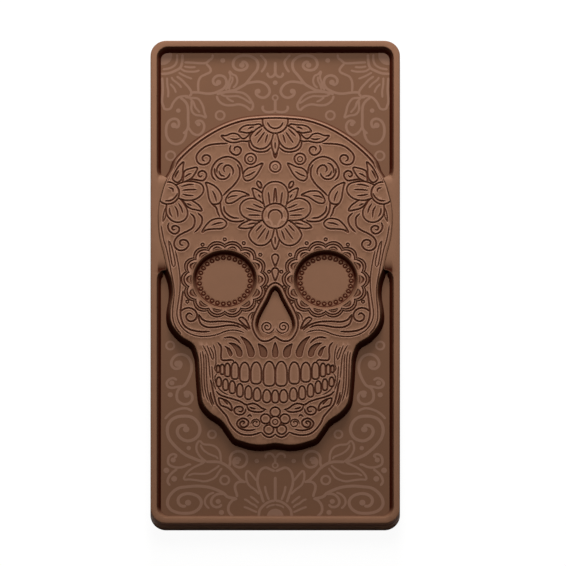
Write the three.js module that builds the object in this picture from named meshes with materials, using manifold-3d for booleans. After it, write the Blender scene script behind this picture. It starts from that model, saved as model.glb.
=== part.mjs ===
// Moulded tablet with a raised rim and a raised sugar skull, lying on its flat back.
// Millimetres. +Z points out of the decorated face, +Y towards the skull's crown,
// and the origin is the middle of the flat back.
import * as THREE from 'three';
import { mergeVertices } from 'three/addons/utils/BufferGeometryUtils.js';
import Module from 'manifold-3d';

const wasm = await Module();
wasm.setup();

// Tablet
const TABLET_WIDTH = 77;
const TABLET_LENGTH = 154;
const CORNER_RADIUS = 4.8;
const SLAB_HEIGHT = 6;
const BASE_ROUND = 0.6;

// Relief that stands on the slab: the rim and the skull share one height
const RELIEF_HEIGHT = 3;
const RIM_WIDTH = 2;
const WALL_LEAN = 1.25;
const EDGE_ROUND = 0.35;
const TEMPLE_GROOVE = 0.35;
const TEMPLE_TOP = 34;
const TEMPLE_BOTTOM = 3.5;

// Skull
const SKULL_LENGTH = 104;
const SOCKET_DEPTH = 1.8;
const SEAT_GAP = 0.3;
const GROOVE_WIDTH = 0.4;
const INLAY_DEPTH = 0.4;
const VEIN_DEPTH = 0.2;
const GUM_REACH = 0.36;
const SCROLL_WIDTH = 0.8;
const FACE_MARGIN = 1.3;

// Eye sockets
const SOCKET_WIDTH = 19.7;
const SOCKET_LENGTH = 18.6;
const SOCKET_LEAN = 0.9;
const SCALLOP_BAND = 2.6;
const SCALLOP_RISE = 0.95;
const SCALLOPS = 14;
const BEADS = 27;
const BEAD_RADIUS = 0.62;
const BEAD_HEIGHT = 0.4;
const BEAD_INSET = 1.15;

// Worked out from the sizes above
const fieldLevel = SLAB_HEIGHT;
const faceLevel = SLAB_HEIGHT + RELIEF_HEIGHT;
const pocketLevel = faceLevel - INLAY_DEPTH;
const veinLevel = faceLevel - VEIN_DEPTH;
const floorLevel = faceLevel - SOCKET_DEPTH;
const overlap = 0.1;
const cutTop = faceLevel + 10 * overlap;
const cutBottom = fieldLevel - 10 * overlap;
const skullWidth = TABLET_WIDTH - 2 * RIM_WIDTH - 2 * TEMPLE_GROOVE;

// The skull is drawn on a grid of 72.3 by 104 squares, its left half only
const squareWide = skullWidth / 72.3;
const squareLong = SKULL_LENGTH / 104;
const square = Math.min(squareWide, squareLong);
const at = (x, y) => new THREE.Vector2(x * squareWide, y * squareLong);

const eyeCentre = at(-15.6, 0.8);
const socketLip = new THREE.Vector2(SOCKET_WIDTH / 2, SOCKET_LENGTH / 2).multiplyScalar(square);
const socketLean = SOCKET_LEAN * square;

// Outlines: closed lists of points, anticlockwise

function smoothOutline(points, steps) {
  const curve = new THREE.CatmullRomCurve3(
    points.map((p) => new THREE.Vector3(p.x, p.y, 0)), true, 'centripetal');
  const spaced = curve.getPoints(points.length * steps);
  return spaced.slice(0, -1).map((p) => new THREE.Vector2(p.x, p.y));
}

function smoothPath(points, steps) {
  const curve = new THREE.CatmullRomCurve3(
    points.map((p) => new THREE.Vector3(p.x, p.y, 0)), false, 'centripetal');
  return curve.getPoints((points.length - 1) * steps).map((p) => new THREE.Vector2(p.x, p.y));
}

function mirrored(points) {
  return points.map((p) => new THREE.Vector2(-p.x, p.y)).reverse();
}

// A left half that starts and ends on the middle line becomes a whole outline
function bothHalves(half) {
  return [...half, ...mirrored(half).slice(1, -1)];
}

// Moves each point out along the outline's normal there, or in for a negative distance
function grown(points, distance) {
  const count = points.length;
  return points.map((point, i) => {
    const before = points[(i + count - 1) % count];
    const after = points[(i + 1) % count];
    const first = point.clone().sub(before).normalize();
    const second = after.clone().sub(point).normalize();
    const along = first.clone().add(second).normalize();
    const normal = new THREE.Vector2(along.y, -along.x);
    const corner = Math.max(0.6, new THREE.Vector2(first.y, -first.x).dot(normal));
    return point.clone().addScaledVector(normal, distance / corner);
  });
}

function roundedRectangle(width, length, radius, steps = 4) {
  const shape = new THREE.Shape();
  const x = width / 2 - radius;
  const y = length / 2 - radius;
  shape.absarc(x, y, radius, 0, Math.PI / 2);
  shape.absarc(-x, y, radius, Math.PI / 2, Math.PI);
  shape.absarc(-x, -y, radius, Math.PI, 1.5 * Math.PI);
  shape.absarc(x, -y, radius, 1.5 * Math.PI, 2 * Math.PI);
  return shape.extractPoints(steps).shape;
}

function ellipse(centre, radii, steps) {
  const points = [];
  for (let i = 0; i < steps; i += 1) {
    const turn = (i / steps) * 2 * Math.PI;
    points.push(new THREE.Vector2(centre.x + radii.x * Math.cos(turn), centre.y + radii.y * Math.sin(turn)));
  }
  return points;
}

const disc = (centre, radius, steps = 12) => ellipse(centre, new THREE.Vector2(radius, radius), steps);

// A pointed leaf from its base to its tip, fullest near the middle
function leaf(base, tip, width, steps = 4) {
  const along = tip.clone().sub(base);
  const across = new THREE.Vector2(along.y, -along.x).normalize();
  const side = (sign) => Array.from({ length: steps }, (_, i) => {
    const t = i / steps;
    const half = (width / 2) * Math.sin(Math.PI * t) ** 0.85;
    return base.clone().addScaledVector(along, t).addScaledVector(across, sign * half);
  });
  const right = side(1);
  const left = side(-1).slice(1).reverse();
  return [...right, tip.clone(), ...left];
}

// A broad petal with a round end, pointing away from a flower's centre
function petal(centre, degrees, inner, outer, width) {
  const turn = THREE.MathUtils.degToRad(degrees);
  const place = (r, side) => new THREE.Vector2(
    centre.x + r * Math.cos(turn) - side * Math.sin(turn),
    centre.y + r * Math.sin(turn) + side * Math.cos(turn));
  const reach = outer - inner;
  return smoothOutline([
    place(inner, -width * 0.22),
    place(inner + reach * 0.5, -width * 0.48),
    place(inner + reach * 0.88, -width * 0.36),
    place(outer, 0),
    place(inner + reach * 0.88, width * 0.36),
    place(inner + reach * 0.5, width * 0.48),
    place(inner, width * 0.22),
  ], 2);
}

// A drop with its point up
function drop(x, top, bottom, halfWidth) {
  const length = (top - bottom) * squareLong;
  const low = at(x, bottom);
  const radius = halfWidth * square;
  const points = [];
  for (let i = 0; i <= 6; i += 1) {
    const turn = THREE.MathUtils.degToRad(180 + i * 30);
    points.push(new THREE.Vector2(low.x + radius * Math.cos(turn), low.y + radius + radius * Math.sin(turn)));
  }
  points.push(new THREE.Vector2(low.x + radius * 0.55, low.y + length * 0.68));
  points.push(new THREE.Vector2(low.x, low.y + length));
  points.push(new THREE.Vector2(low.x - radius * 0.55, low.y + length * 0.68));
  return points;
}

// A tooth's face: an arched top and a flatter foot with round corners
function tooth(left, right, top, bottom) {
  const low = at(left, bottom);
  const high = at(right, top);
  const halfWidth = (high.x - low.x) / 2;
  const middle = low.x + halfWidth;
  const arch = Math.min(1.3 * halfWidth, (high.y - low.y) / 2);
  const foot = 0.55 * halfWidth;
  const points = [];
  for (let i = 0; i <= 4; i += 1) {
    const turn = (i / 4) * Math.PI;
    points.push(new THREE.Vector2(middle + halfWidth * Math.cos(turn), high.y - arch + arch * Math.sin(turn)));
  }
  for (const i of [0, 1]) {
    const turn = Math.PI + i * (Math.PI / 2);
    points.push(new THREE.Vector2(low.x + foot + foot * Math.cos(turn), low.y + foot + foot * Math.sin(turn)));
  }
  for (const i of [0, 1]) {
    const turn = 1.5 * Math.PI + i * (Math.PI / 2);
    points.push(new THREE.Vector2(high.x - foot + foot * Math.cos(turn), low.y + foot + foot * Math.sin(turn)));
  }
  return points;
}

// A scalloped ring line round an eye, with a valley straight above its centre
function scallops(centre, crest, rise, steps = 4) {
  const points = [];
  const count = SCALLOPS * steps;
  for (let i = 0; i < count; i += 1) {
    const turn = Math.PI / 2 + (i / count) * 2 * Math.PI;
    const swell = Math.sin((i / steps) % 1 * Math.PI) ** 0.7;
    const depth = rise * (1 - swell);
    points.push(new THREE.Vector2(
      centre.x + (crest.x - depth) * Math.cos(turn), centre.y + (crest.y - depth) * Math.sin(turn)));
  }
  return points;
}

// A path's outline at a given width, with round ends
function ribbonOutline(path, width) {
  const half = width / 2;
  const normals = path.map((point, i) => {
    const before = path[Math.max(0, i - 1)];
    const after = path[Math.min(path.length - 1, i + 1)];
    const along = after.clone().sub(before).normalize();
    return new THREE.Vector2(along.y, -along.x);
  });
  const right = path.map((point, i) => point.clone().addScaledVector(normals[i], half));
  const left = path.map((point, i) => point.clone().addScaledVector(normals[i], -half)).reverse();
  const cap = (point, normal, sign) => [-0.5, 0, 0.5].map((s) => {
    const forward = new THREE.Vector2(-normal.y, normal.x).multiplyScalar(sign);
    return point.clone().addScaledVector(forward, half * Math.cos(s * Math.PI * 0.6))
      .addScaledVector(normal, -s * 2 * sign * half * 0.8);
  });
  const last = path.length - 1;
  return [...right, ...cap(path[last], normals[last], 1), ...left, ...cap(path[0], normals[0], -1)];
}

// A spiral that closes in on its centre
function spiral(centre, outer, inner, startDegrees, turns, steps = 8) {
  const count = Math.round(Math.abs(turns) * steps);
  return Array.from({ length: count + 1 }, (_, i) => {
    const t = i / count;
    const turn = THREE.MathUtils.degToRad(startDegrees) + t * turns * 2 * Math.PI;
    const radius = outer + (inner - outer) * t;
    return new THREE.Vector2(centre.x + radius * Math.cos(turn), centre.y + radius * Math.sin(turn));
  });
}

// Solids

function loft(rings) {
  const count = rings[0].points.length;
  const top = (rings.length - 1) * count;
  const positions = rings.flatMap(({ points, z }) => points.flatMap((p) => [p.x, p.y, z]));
  const index = [];
  for (let level = 0; level < rings.length - 1; level += 1) {
    for (let i = 0; i < count; i += 1) {
      const a = level * count + i;
      const b = level * count + ((i + 1) % count);
      index.push(a, b, b + count, a, b + count, a + count);
    }
  }
  for (const [a, b, c] of THREE.ShapeUtils.triangulateShape(rings[0].points, [])) {
    index.push(c, b, a);
  }
  for (const [a, b, c] of THREE.ShapeUtils.triangulateShape(rings[rings.length - 1].points, [])) {
    index.push(a + top, b + top, c + top);
  }
  const geometry = new THREE.BufferGeometry();
  geometry.setAttribute('position', new THREE.Float32BufferAttribute(positions, 3));
  geometry.setIndex(index);
  return geometry;
}

function toSolid(geometry) {
  const bare = new THREE.BufferGeometry();
  bare.setAttribute('position', geometry.getAttribute('position'));
  if (geometry.index) bare.setIndex(geometry.index);
  const merged = mergeVertices(bare, 1e-4);
  return new wasm.Manifold(new wasm.Mesh({
    numProp: 3,
    vertProperties: Float32Array.from(merged.getAttribute('position').array),
    triVerts: Uint32Array.from(merged.index.array),
  }));
}

function toGeometry(solid) {
  const mesh = solid.getMesh();
  const geometry = new THREE.BufferGeometry();
  geometry.setAttribute('position', new THREE.Float32BufferAttribute(mesh.vertProperties, 3));
  geometry.setIndex(new THREE.Uint32BufferAttribute(mesh.triVerts, 1));
  return geometry;
}

function prism(points, bottom, top) {
  return toSolid(loft([{ points, z: bottom }, { points, z: top }]));
}

const joined = (solids) => solids.reduce((sum, solid) => sum.add(solid));

// Rings that turn a wall's upper end into a rounded edge: inwards for a solid, outwards for a cut
function roundedRings(points, top, radius, inwards) {
  if (radius === 0) return [{ points, z: top }];
  return [0, 0.5, 1].map((share) => {
    const turn = share * (Math.PI / 2);
    const shift = radius * (1 - Math.cos(turn)) * (inwards ? -1 : 1);
    return { points: grown(points, shift), z: top - radius + radius * Math.sin(turn) };
  });
}

// A raised block whose walls lean out towards its foot
function raised(points, bottom, top, lean, radius) {
  return toSolid(loft([
    { points: grown(points, lean), z: bottom },
    ...roundedRings(points, top, radius, true),
  ]));
}

// A sunk space whose walls lean in towards its floor
function sunk(points, bottom, top, lean, radius) {
  const rings = roundedRings(points, top, radius, false);
  const mouth = rings[rings.length - 1].points;
  return toSolid(loft([
    { points: grown(points, -lean), z: bottom },
    ...rings,
    { points: mouth, z: top + 10 * overlap },
  ]));
}

// Skull outline, from the crown down the left side to the chin
const skullHalf = [
  [0, 52.1], [-7.4, 51.7], [-14.7, 49.7], [-21.5, 46], [-27.3, 41], [-31.8, 35.3], [-34.9, 28.3],
  [-36.1, 21.5], [-35.8, 15.5], [-33.9, 6], [-32.1, 0.5], [-31.8, -4], [-32.4, -9.5], [-31.9, -13.4],
  [-29.8, -16.5], [-26.9, -18.6], [-24.9, -20.5], [-23.9, -24], [-23.1, -33], [-22.4, -38], [-20.9, -40.8],
  [-17.6, -43.6], [-13.5, -48.7], [-10.6, -50.9], [-6.5, -51.9], [-3, -51.8], [0, -51.4],
].map(([x, y]) => at(x, y));
const skullOutline = smoothOutline(bothHalves(skullHalf), 2);

// Nose opening, from its apex down the left side to the cusp below
const noseHalf = [
  [0, -1.3], [-1.5, -2.4], [-2.8, -5.4], [-4.8, -9.2], [-5.8, -11.6], [-6.1, -14], [-5.3, -16.3],
  [-4, -17.8], [-2.6, -17.9], [-1.2, -17.2], [0, -16.3],
].map(([x, y]) => at(x, y));
const noseLip = smoothOutline(bothHalves(noseHalf), 2);
const noseFloor = grown(noseLip, -socketLean);

function tabletSlab() {
  const outline = roundedRectangle(TABLET_WIDTH, TABLET_LENGTH, CORNER_RADIUS);
  const baseRings = [3, 2, 1, 0].map((i) => {
    const turn = (i / 3) * (Math.PI / 2);
    return {
      points: grown(outline, -BASE_ROUND * (1 - Math.cos(turn))),
      z: BASE_ROUND * (1 - Math.sin(turn)),
    };
  });
  return toSolid(loft([...baseRings, { points: outline, z: fieldLevel }]));
}

// The web that joins the rim to the skull's widest part, on the left for -1 and the right for 1
function templeWeb(side) {
  const outer = (side * (TABLET_WIDTH - RIM_WIDTH)) / 2;
  const inner = side * skullWidth * 0.4;
  const low = TEMPLE_BOTTOM * squareLong;
  const high = TEMPLE_TOP * squareLong;
  const ends = (lean) => {
    const corners = [[outer, low - lean], [inner, low - lean], [inner, high + lean], [outer, high + lean]];
    const points = corners.map(([x, y]) => new THREE.Vector2(x, y));
    return side < 0 ? points : points.reverse();
  };
  return toSolid(loft([{ points: ends(WALL_LEAN), z: fieldLevel }, { points: ends(0), z: faceLevel }]));
}

// The skull's block, or a larger one with a sharp edge that cuts its clearance
function skullBlock(clearance = 0) {
  const radius = clearance > 0 ? 0 : EDGE_ROUND;
  return raised(grown(skullOutline, clearance), fieldLevel, faceLevel, WALL_LEAN, radius);
}

function rimFrame() {
  const outline = roundedRectangle(TABLET_WIDTH, TABLET_LENGTH, CORNER_RADIUS);
  const lip = roundedRectangle(
    TABLET_WIDTH - 2 * RIM_WIDTH, TABLET_LENGTH - 2 * RIM_WIDTH, CORNER_RADIUS - RIM_WIDTH + WALL_LEAN / 2);
  const block = raised(outline, fieldLevel, faceLevel, 0, EDGE_ROUND);
  const opening = sunk(lip, fieldLevel, faceLevel, WALL_LEAN, EDGE_ROUND);
  const ring = block.subtract(opening);
  const webs = templeWeb(-1).add(templeWeb(1)).subtract(skullBlock(TEMPLE_GROOVE));
  return ring.subtract(skullBlock(TEMPLE_GROOVE)).add(webs);
}

// Inlaid ornaments: each is a list of shapes from back to front, seated in one shallow pocket
function ornament(shapes, clip) {
  const halfVein = GROOVE_WIDTH / 2;
  const lower = joined(shapes.map((shape) => prism(shape, pocketLevel, veinLevel)));
  const upper = joined(shapes.map((shape, i) => {
    const face = prism(grown(shape, -halfVein), veinLevel, faceLevel);
    const front = shapes.slice(i + 1).map((other) => prism(grown(other, halfVein), pocketLevel, cutTop));
    return front.reduce((left, other) => left.subtract(other), face);
  }));
  const pocket = joined(shapes.map((shape) => prism(grown(shape, GROOVE_WIDTH), pocketLevel, cutTop)));
  const solid = lower.add(upper);
  if (!clip) return { solid, pocket };
  const edge = prism(grown(skullOutline, -FACE_MARGIN), fieldLevel, cutTop);
  const wider = prism(grown(skullOutline, -FACE_MARGIN + GROOVE_WIDTH), fieldLevel, cutTop + 1);
  return { solid: solid.intersect(edge), pocket: pocket.intersect(wider) };
}

// Shapes on the left half with their mirror images on the right
const pair = (shapes) => [...shapes, ...shapes.map(mirrored)];

function foreheadFlower() {
  const centre = at(0, 21);
  return ornament([
    leaf(at(0, 18.6), at(0, 10.4), 2.4 * square),
    ...pair([
      leaf(at(-2, 22.6), at(-7.1, 29.7), 3.3 * square),
      leaf(at(-2.4, 19.4), at(-11.2, 17.7), 2.7 * square),
    ]),
    ...pair([
      petal(centre, 232, 3 * square, 10.8 * square, 7 * square),
      petal(centre, 170, 3 * square, 11 * square, 6.8 * square),
    ]),
    petal(centre, 90, 3 * square, 10.9 * square, 8 * square),
    disc(centre, 4 * square),
  ]);
}

function crownFlower() {
  const centre = at(0, 51.3);
  return ornament([
    leaf(at(0, 49), at(0, 40.7), 2.4 * square),
    ...pair([
      leaf(at(-1.6, 49.8), at(-11.1, 48), 2.5 * square),
      leaf(at(-4.4, 47.2), at(-16.4, 46.4), 2.8 * square),
      petal(centre, 239, 3 * square, 10.2 * square, 6.8 * square),
    ]),
    disc(centre, 3.9 * square),
  ], true);
}

function templeFlower() {
  const centre = at(-33.1, 28.3);
  return ornament([
    leaf(at(-31.6, 27.4), at(-22.9, 22.9), 3 * square),
    leaf(at(-31.8, 29.8), at(-24.2, 36.2), 3 * square),
    petal(centre, 60, 2.4 * square, 9.4 * square, 5.4 * square),
    petal(centre, -69, 2.4 * square, 9.8 * square, 6.4 * square),
    petal(centre, 5, 2.4 * square, 10.8 * square, 6 * square),
    disc(centre, 3.6 * square),
  ], true);
}

const leaves = {
  brow_leaf: () => ornament([leaf(at(-9.7, 33.2), at(-4.1, 37.6), 3.3 * square)]),
  stem_leaf_inner: () => ornament([leaf(at(-15.3, 26.2), at(-9.1, 28.3), 3 * square)]),
  stem_leaf_upper: () => ornament([leaf(at(-17.9, 25.2), at(-21.2, 31.4), 3.3 * square)]),
  stem_leaf_lower: () => ornament([leaf(at(-15.4, 19), at(-22.4, 16.1), 3.1 * square)]),
};

function browDrop(top, bottom) {
  return ornament([drop(0, top, bottom, 1.1)]);
}

// Left halves of the two rows: left edge, right edge, top and bottom of each tooth
const upperTeethHalf = [
  [-3.6, -0.1, -25.4, -33.2], [-7.5, -4.3, -25.6, -32.5], [-10.9, -8, -25.7, -31.9], [-13.5, -11.4, -25.7, -31],
  [-15.5, -14, -26, -30.2], [-16.9, -15.9, -26.3, -29.5],
];
const lowerTeethHalf = [
  [-3.8, -1.4, -34.4, -38.5], [-6.7, -4.5, -33.8, -38], [-9.3, -7.3, -33.2, -37.5], [-11.8, -10, -32.5, -36.7],
  [-14.1, -12.4, -31.6, -35.6], [-16.1, -14.6, -31, -34.6],
];

function upperTeeth() {
  return toothRow(pair(upperTeethHalf.map((sizes) => tooth(...sizes))));
}

function lowerTeeth() {
  return toothRow([tooth(-1, 1, -34.5, -38.6), ...pair(lowerTeethHalf.map((sizes) => tooth(...sizes)))]);
}

// Teeth stand on one thin gum strip that reaches a little past them and joins them
function toothRow(teeth) {
  const reach = GUM_REACH * squareWide;
  const gum = joined(teeth.map((outline) => prism(grown(outline, reach), pocketLevel, veinLevel)));
  const faces = joined(teeth.map((outline) => prism(outline, veinLevel, faceLevel)));
  const pocket = joined(teeth.map((outline) => prism(grown(outline, reach + SEAT_GAP), pocketLevel, cutTop)));
  return { solid: gum.add(faces), pocket };
}

function chinFlower() {
  const centre = at(0, -44.7);
  const around = [90, 162, 234, 306, 18].map((degrees) => {
    const turn = THREE.MathUtils.degToRad(degrees);
    const reach = 2.9 * square;
    return disc(new THREE.Vector2(centre.x + reach * Math.cos(turn), centre.y + reach * Math.sin(turn)),
      1.6 * square, 10);
  });
  return ornament([...around, disc(centre, 1.7 * square, 10)]);
}

// Eyes

function eyeSurround() {
  const crest = socketLip.clone().addScalar(SCALLOP_BAND * square + SCALLOP_RISE * square);
  const outline = scallops(eyeCentre, crest, SCALLOP_RISE * square);
  const lip = ellipse(eyeCentre, socketLip, 24);
  const wall = sunk(lip, floorLevel, faceLevel, socketLean, EDGE_ROUND);
  const well = prism(grown(lip, -socketLean), cutBottom, floorLevel + overlap);
  const ring = prism(outline, fieldLevel, faceLevel);
  return {
    solid: ring.subtract(wall.add(well)),
    pocket: prism(grown(outline, GROOVE_WIDTH), cutBottom, cutTop),
  };
}

function eyeDisc() {
  const floor = grown(ellipse(eyeCentre, socketLip, 24), -socketLean - SEAT_GAP);
  const plate = prism(floor, fieldLevel, floorLevel);
  const radii = socketLip.clone().addScalar(-socketLean - BEAD_INSET * square);
  const radius = BEAD_RADIUS * square;
  const beads = ellipse(eyeCentre, radii, BEADS).map((centre) => toSolid(loft([
    { points: disc(centre, radius, 5), z: floorLevel - overlap },
    { points: disc(centre, radius * 0.6, 5), z: floorLevel + BEAD_HEIGHT },
  ])));
  return plate.add(joined(beads));
}

// Nose: a floor panel with two engraved scrolls
function nosePanel() {
  const panel = prism(grown(noseFloor, -SEAT_GAP), fieldLevel, floorLevel);
  const scroll = spiral(at(-2.5, -14), 1.7 * square, 0.5 * square, -60, -1.4);
  const outline = ribbonOutline(scroll, GROOVE_WIDTH);
  const cuts = [outline, mirrored(outline)].map((points) => prism(points, floorLevel - VEIN_DEPTH, cutTop));
  return panel.subtract(joined(cuts));
}

function noseOpening() {
  const wall = sunk(noseLip, floorLevel, faceLevel, socketLean, EDGE_ROUND);
  return wall.add(prism(noseFloor, cutBottom, floorLevel + overlap));
}

// Engraved scrolls that stay part of the skull's face, drawn for the left half
function scrollCuts() {
  const paths = [
    [[-15.6, 28.6], [-13.4, 30.6], [-11.6, 32.3], [-10.6, 35], [-11.2, 38], [-14.6, 39.8], [-18, 38.6],
      [-19.6, 35.6], [-18.6, 33], [-16, 32.4], [-13.9, 33.8], [-14.3, 36.3], [-16, 36.8]],
    [[-25, 22], [-24.5, 20], [-25, 17.6], [-27.6, 15.9], [-30.4, 14.2], [-31.1, 11.8], [-29.4, 10.1],
      [-27.2, 11.2], [-28, 13]],
  ];
  const outlines = paths.map((path) => ribbonOutline(smoothPath(path.map(([x, y]) => at(x, y)), 2),
    SCROLL_WIDTH * square));
  return joined(pair(outlines).map((outline) => prism(outline, pocketLevel, cutTop)));
}

// Whole model

const BROWN = 0x84604c;
const SHADES = { slab: 0x7a5847, relief: BROWN, inlay: 0x8d6853 };

const group = new THREE.Group();

function place(name, solid, colour) {
  const material = new THREE.MeshStandardMaterial({ color: colour, roughness: 0.45, metalness: 0 });
  const mesh = new THREE.Mesh(toGeometry(solid), material);
  mesh.name = name;
  group.add(mesh);
  return mesh;
}

// A piece drawn on the left is placed there and, mirrored in the middle line, on the right
function flipped(solid) {
  const geometry = toGeometry(solid);
  geometry.scale(-1, 1, 1);
  const corners = geometry.index.array;
  for (let i = 0; i < corners.length; i += 3) {
    [corners[i], corners[i + 1]] = [corners[i + 1], corners[i]];
  }
  return toSolid(geometry);
}

place('tablet_slab', tabletSlab(), SHADES.slab);
place('rim_frame', rimFrame(), SHADES.relief);

const single = {
  crown_flower: crownFlower(),
  forehead_flower: foreheadFlower(),
  brow_drop_upper: browDrop(8.6, 5),
  brow_drop_lower: browDrop(4.1, 0.5),
  upper_teeth: upperTeeth(),
  lower_teeth: lowerTeeth(),
  chin_flower: chinFlower(),
};
const paired = {
  temple_flower: templeFlower(),
  eye_surround: eyeSurround(),
  ...Object.fromEntries(Object.entries(leaves).map(([name, make]) => [name, make()])),
};

const pockets = [
  ...Object.values(single).map(({ pocket }) => pocket),
  ...Object.values(paired).flatMap(({ pocket }) => [pocket, flipped(pocket)]),
];
const plate = skullBlock().subtract(joined([...pockets, noseOpening(), scrollCuts()]));
place('skull_plate', plate, SHADES.relief);

for (const [name, { solid }] of Object.entries(single)) {
  place(name, solid, SHADES.inlay);
}
for (const [name, { solid }] of Object.entries(paired)) {
  place(`${name}_left`, solid, SHADES.inlay);
  place(`${name}_right`, flipped(solid), SHADES.inlay);
}
place('eye_disc_left', eyeDisc(), SHADES.relief);
place('eye_disc_right', flipped(eyeDisc()), SHADES.relief);
place('nose_panel', nosePanel(), SHADES.relief);

export default group;
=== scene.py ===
import math
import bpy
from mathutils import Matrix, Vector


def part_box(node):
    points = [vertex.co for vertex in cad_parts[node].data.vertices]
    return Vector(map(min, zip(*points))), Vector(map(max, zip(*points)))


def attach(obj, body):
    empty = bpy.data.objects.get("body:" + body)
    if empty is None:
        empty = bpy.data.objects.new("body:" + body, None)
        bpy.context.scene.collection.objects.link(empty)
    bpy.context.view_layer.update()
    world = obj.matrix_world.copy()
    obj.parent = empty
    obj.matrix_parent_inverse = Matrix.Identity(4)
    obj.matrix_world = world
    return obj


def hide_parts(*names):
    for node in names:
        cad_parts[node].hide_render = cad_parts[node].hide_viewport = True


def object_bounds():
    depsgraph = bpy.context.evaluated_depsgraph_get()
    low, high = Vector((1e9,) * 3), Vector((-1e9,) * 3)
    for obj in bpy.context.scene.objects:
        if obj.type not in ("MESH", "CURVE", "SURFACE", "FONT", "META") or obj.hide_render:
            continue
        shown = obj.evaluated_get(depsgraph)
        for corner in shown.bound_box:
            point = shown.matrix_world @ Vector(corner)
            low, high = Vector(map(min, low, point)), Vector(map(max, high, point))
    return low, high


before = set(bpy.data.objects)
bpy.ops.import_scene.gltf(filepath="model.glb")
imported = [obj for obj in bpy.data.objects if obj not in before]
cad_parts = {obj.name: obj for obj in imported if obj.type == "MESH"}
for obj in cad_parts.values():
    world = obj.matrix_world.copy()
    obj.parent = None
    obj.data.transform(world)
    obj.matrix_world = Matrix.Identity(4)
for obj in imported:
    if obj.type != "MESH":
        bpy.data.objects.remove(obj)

from types import SimpleNamespace

import bpy
import numpy as np
from mathutils import Vector
from mathutils.geometry import delaunay_2d_cdt
from mathutils.kdtree import KDTree

bl_info = {
    "name": "Sugar Skull Tablet",
    "version": (1, 0, 0),
    "blender": (4, 5, 0),
    "location": "View3D > Sidebar > Tablet",
    "description": "Makes the moulded tablet with its rim, its engraved skull and its flower pattern",
    "category": "Add Mesh",
}

cad_low, cad_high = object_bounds()

# Everything is drawn in millimetres on the tablet's face and placed in metres.
# The left half is drawn. The right half is its mirror image.
MM = 0.001
# An engraved groove: the width of its sloping wall, the half width from which its floor gets a middle row,
# and the soft ridge beside its lip, by its height and the distances of its peak and foot from the lip
GROOVE_WALL = 0.22
WIDE_HALF = 0.34
RIDGE_HEIGHT = 0.07
RIDGE_PEAK = 0.15
RIDGE_FOOT = 0.34
# How far round a groove its effect is looked for, and how far the painted shade at the foot of a sunk
# pocket's wall runs in
CUT_REACH = 0.36
POCKET_FOOT = 0.3
# A groove narrows to this share of its width, over this length at each end or less
TIP_SHARE = 0.45
TIP_LENGTH = 1.1
# The fine strands' share of a line's width and of its depth, and the veins' share of its depth
STRAND_SHARE = 0.72
STRAND_DEPTH = 0.85
VEIN_DEPTH = 0.9
# Distance between the points of a drawn curve, of a round outline and of a small outline
SPACING = 0.24
ROUND_SPACING = 0.22
FINE_SPACING = 0.2
# The skull was read this far to the left of the tablet's middle line, and the field's pattern this far
DRAWING_SHIFT = 0.35
FIELD_SHIFT = 0.1
# How far the face reaches past its border groove above the temples
CROWN_REACH = 0.85
# How far an inlaid piece goes down into the floor of its pocket
INLAY_SINK = 0.02
SHARP_ANGLE = math.radians(35)


# Sizes and colours a user would change

class TabletSizes(bpy.types.PropertyGroup):
    """Sizes of the tablet in metres."""
    width: bpy.props.FloatProperty(
        name="Width", description="Tablet width", default=cad_high.x - cad_low.x, unit="LENGTH")
    length: bpy.props.FloatProperty(
        name="Length", description="Tablet length", default=cad_high.y - cad_low.y, unit="LENGTH")
    face_height: bpy.props.FloatProperty(
        name="Face height", description="Height of the rim and of the skull's face",
        default=cad_high.z, unit="LENGTH")
    field_height: bpy.props.FloatProperty(
        name="Field height", description="Height of the field between rim and skull",
        default=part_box("tablet_slab")[1][2], unit="LENGTH")
    corner_radius: bpy.props.FloatProperty(
        name="Corner radius", description="Radius of the tablet's corners", default=0.0048, unit="LENGTH")
    rim_width: bpy.props.FloatProperty(
        name="Rim width", description="Width of the rim's flat top", default=0.002, unit="LENGTH")
    wall_lean: bpy.props.FloatProperty(
        name="Wall lean", description="How far a relief wall runs out to its foot",
        default=0.00125, unit="LENGTH")
    edge_round: bpy.props.FloatProperty(
        name="Edge round", description="Radius of the relief's upper edges", default=0.00035, unit="LENGTH")
    line_width: bpy.props.FloatProperty(
        name="Line width", description="Width of an engraved line", default=0.00067, unit="LENGTH")
    line_depth: bpy.props.FloatProperty(
        name="Line depth", description="Depth of an engraved line", default=0.0004, unit="LENGTH")
    socket_depth: bpy.props.FloatProperty(
        name="Socket depth", description="Depth of the eye sockets and the nose",
        default=0.0018, unit="LENGTH")
    scallops: bpy.props.IntProperty(
        name="Scallops", description="Scallops round each eye", default=14, min=3)
    beads: bpy.props.IntProperty(
        name="Beads", description="Beads in each eye socket", default=27, min=3)
    bead_radius: bpy.props.FloatProperty(
        name="Bead radius", description="Radius of one bead", default=0.00037, unit="LENGTH")
    pattern_height: bpy.props.FloatProperty(
        name="Pattern height", description="How far the field's pattern stands up",
        default=0.00002, unit="LENGTH")


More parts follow.
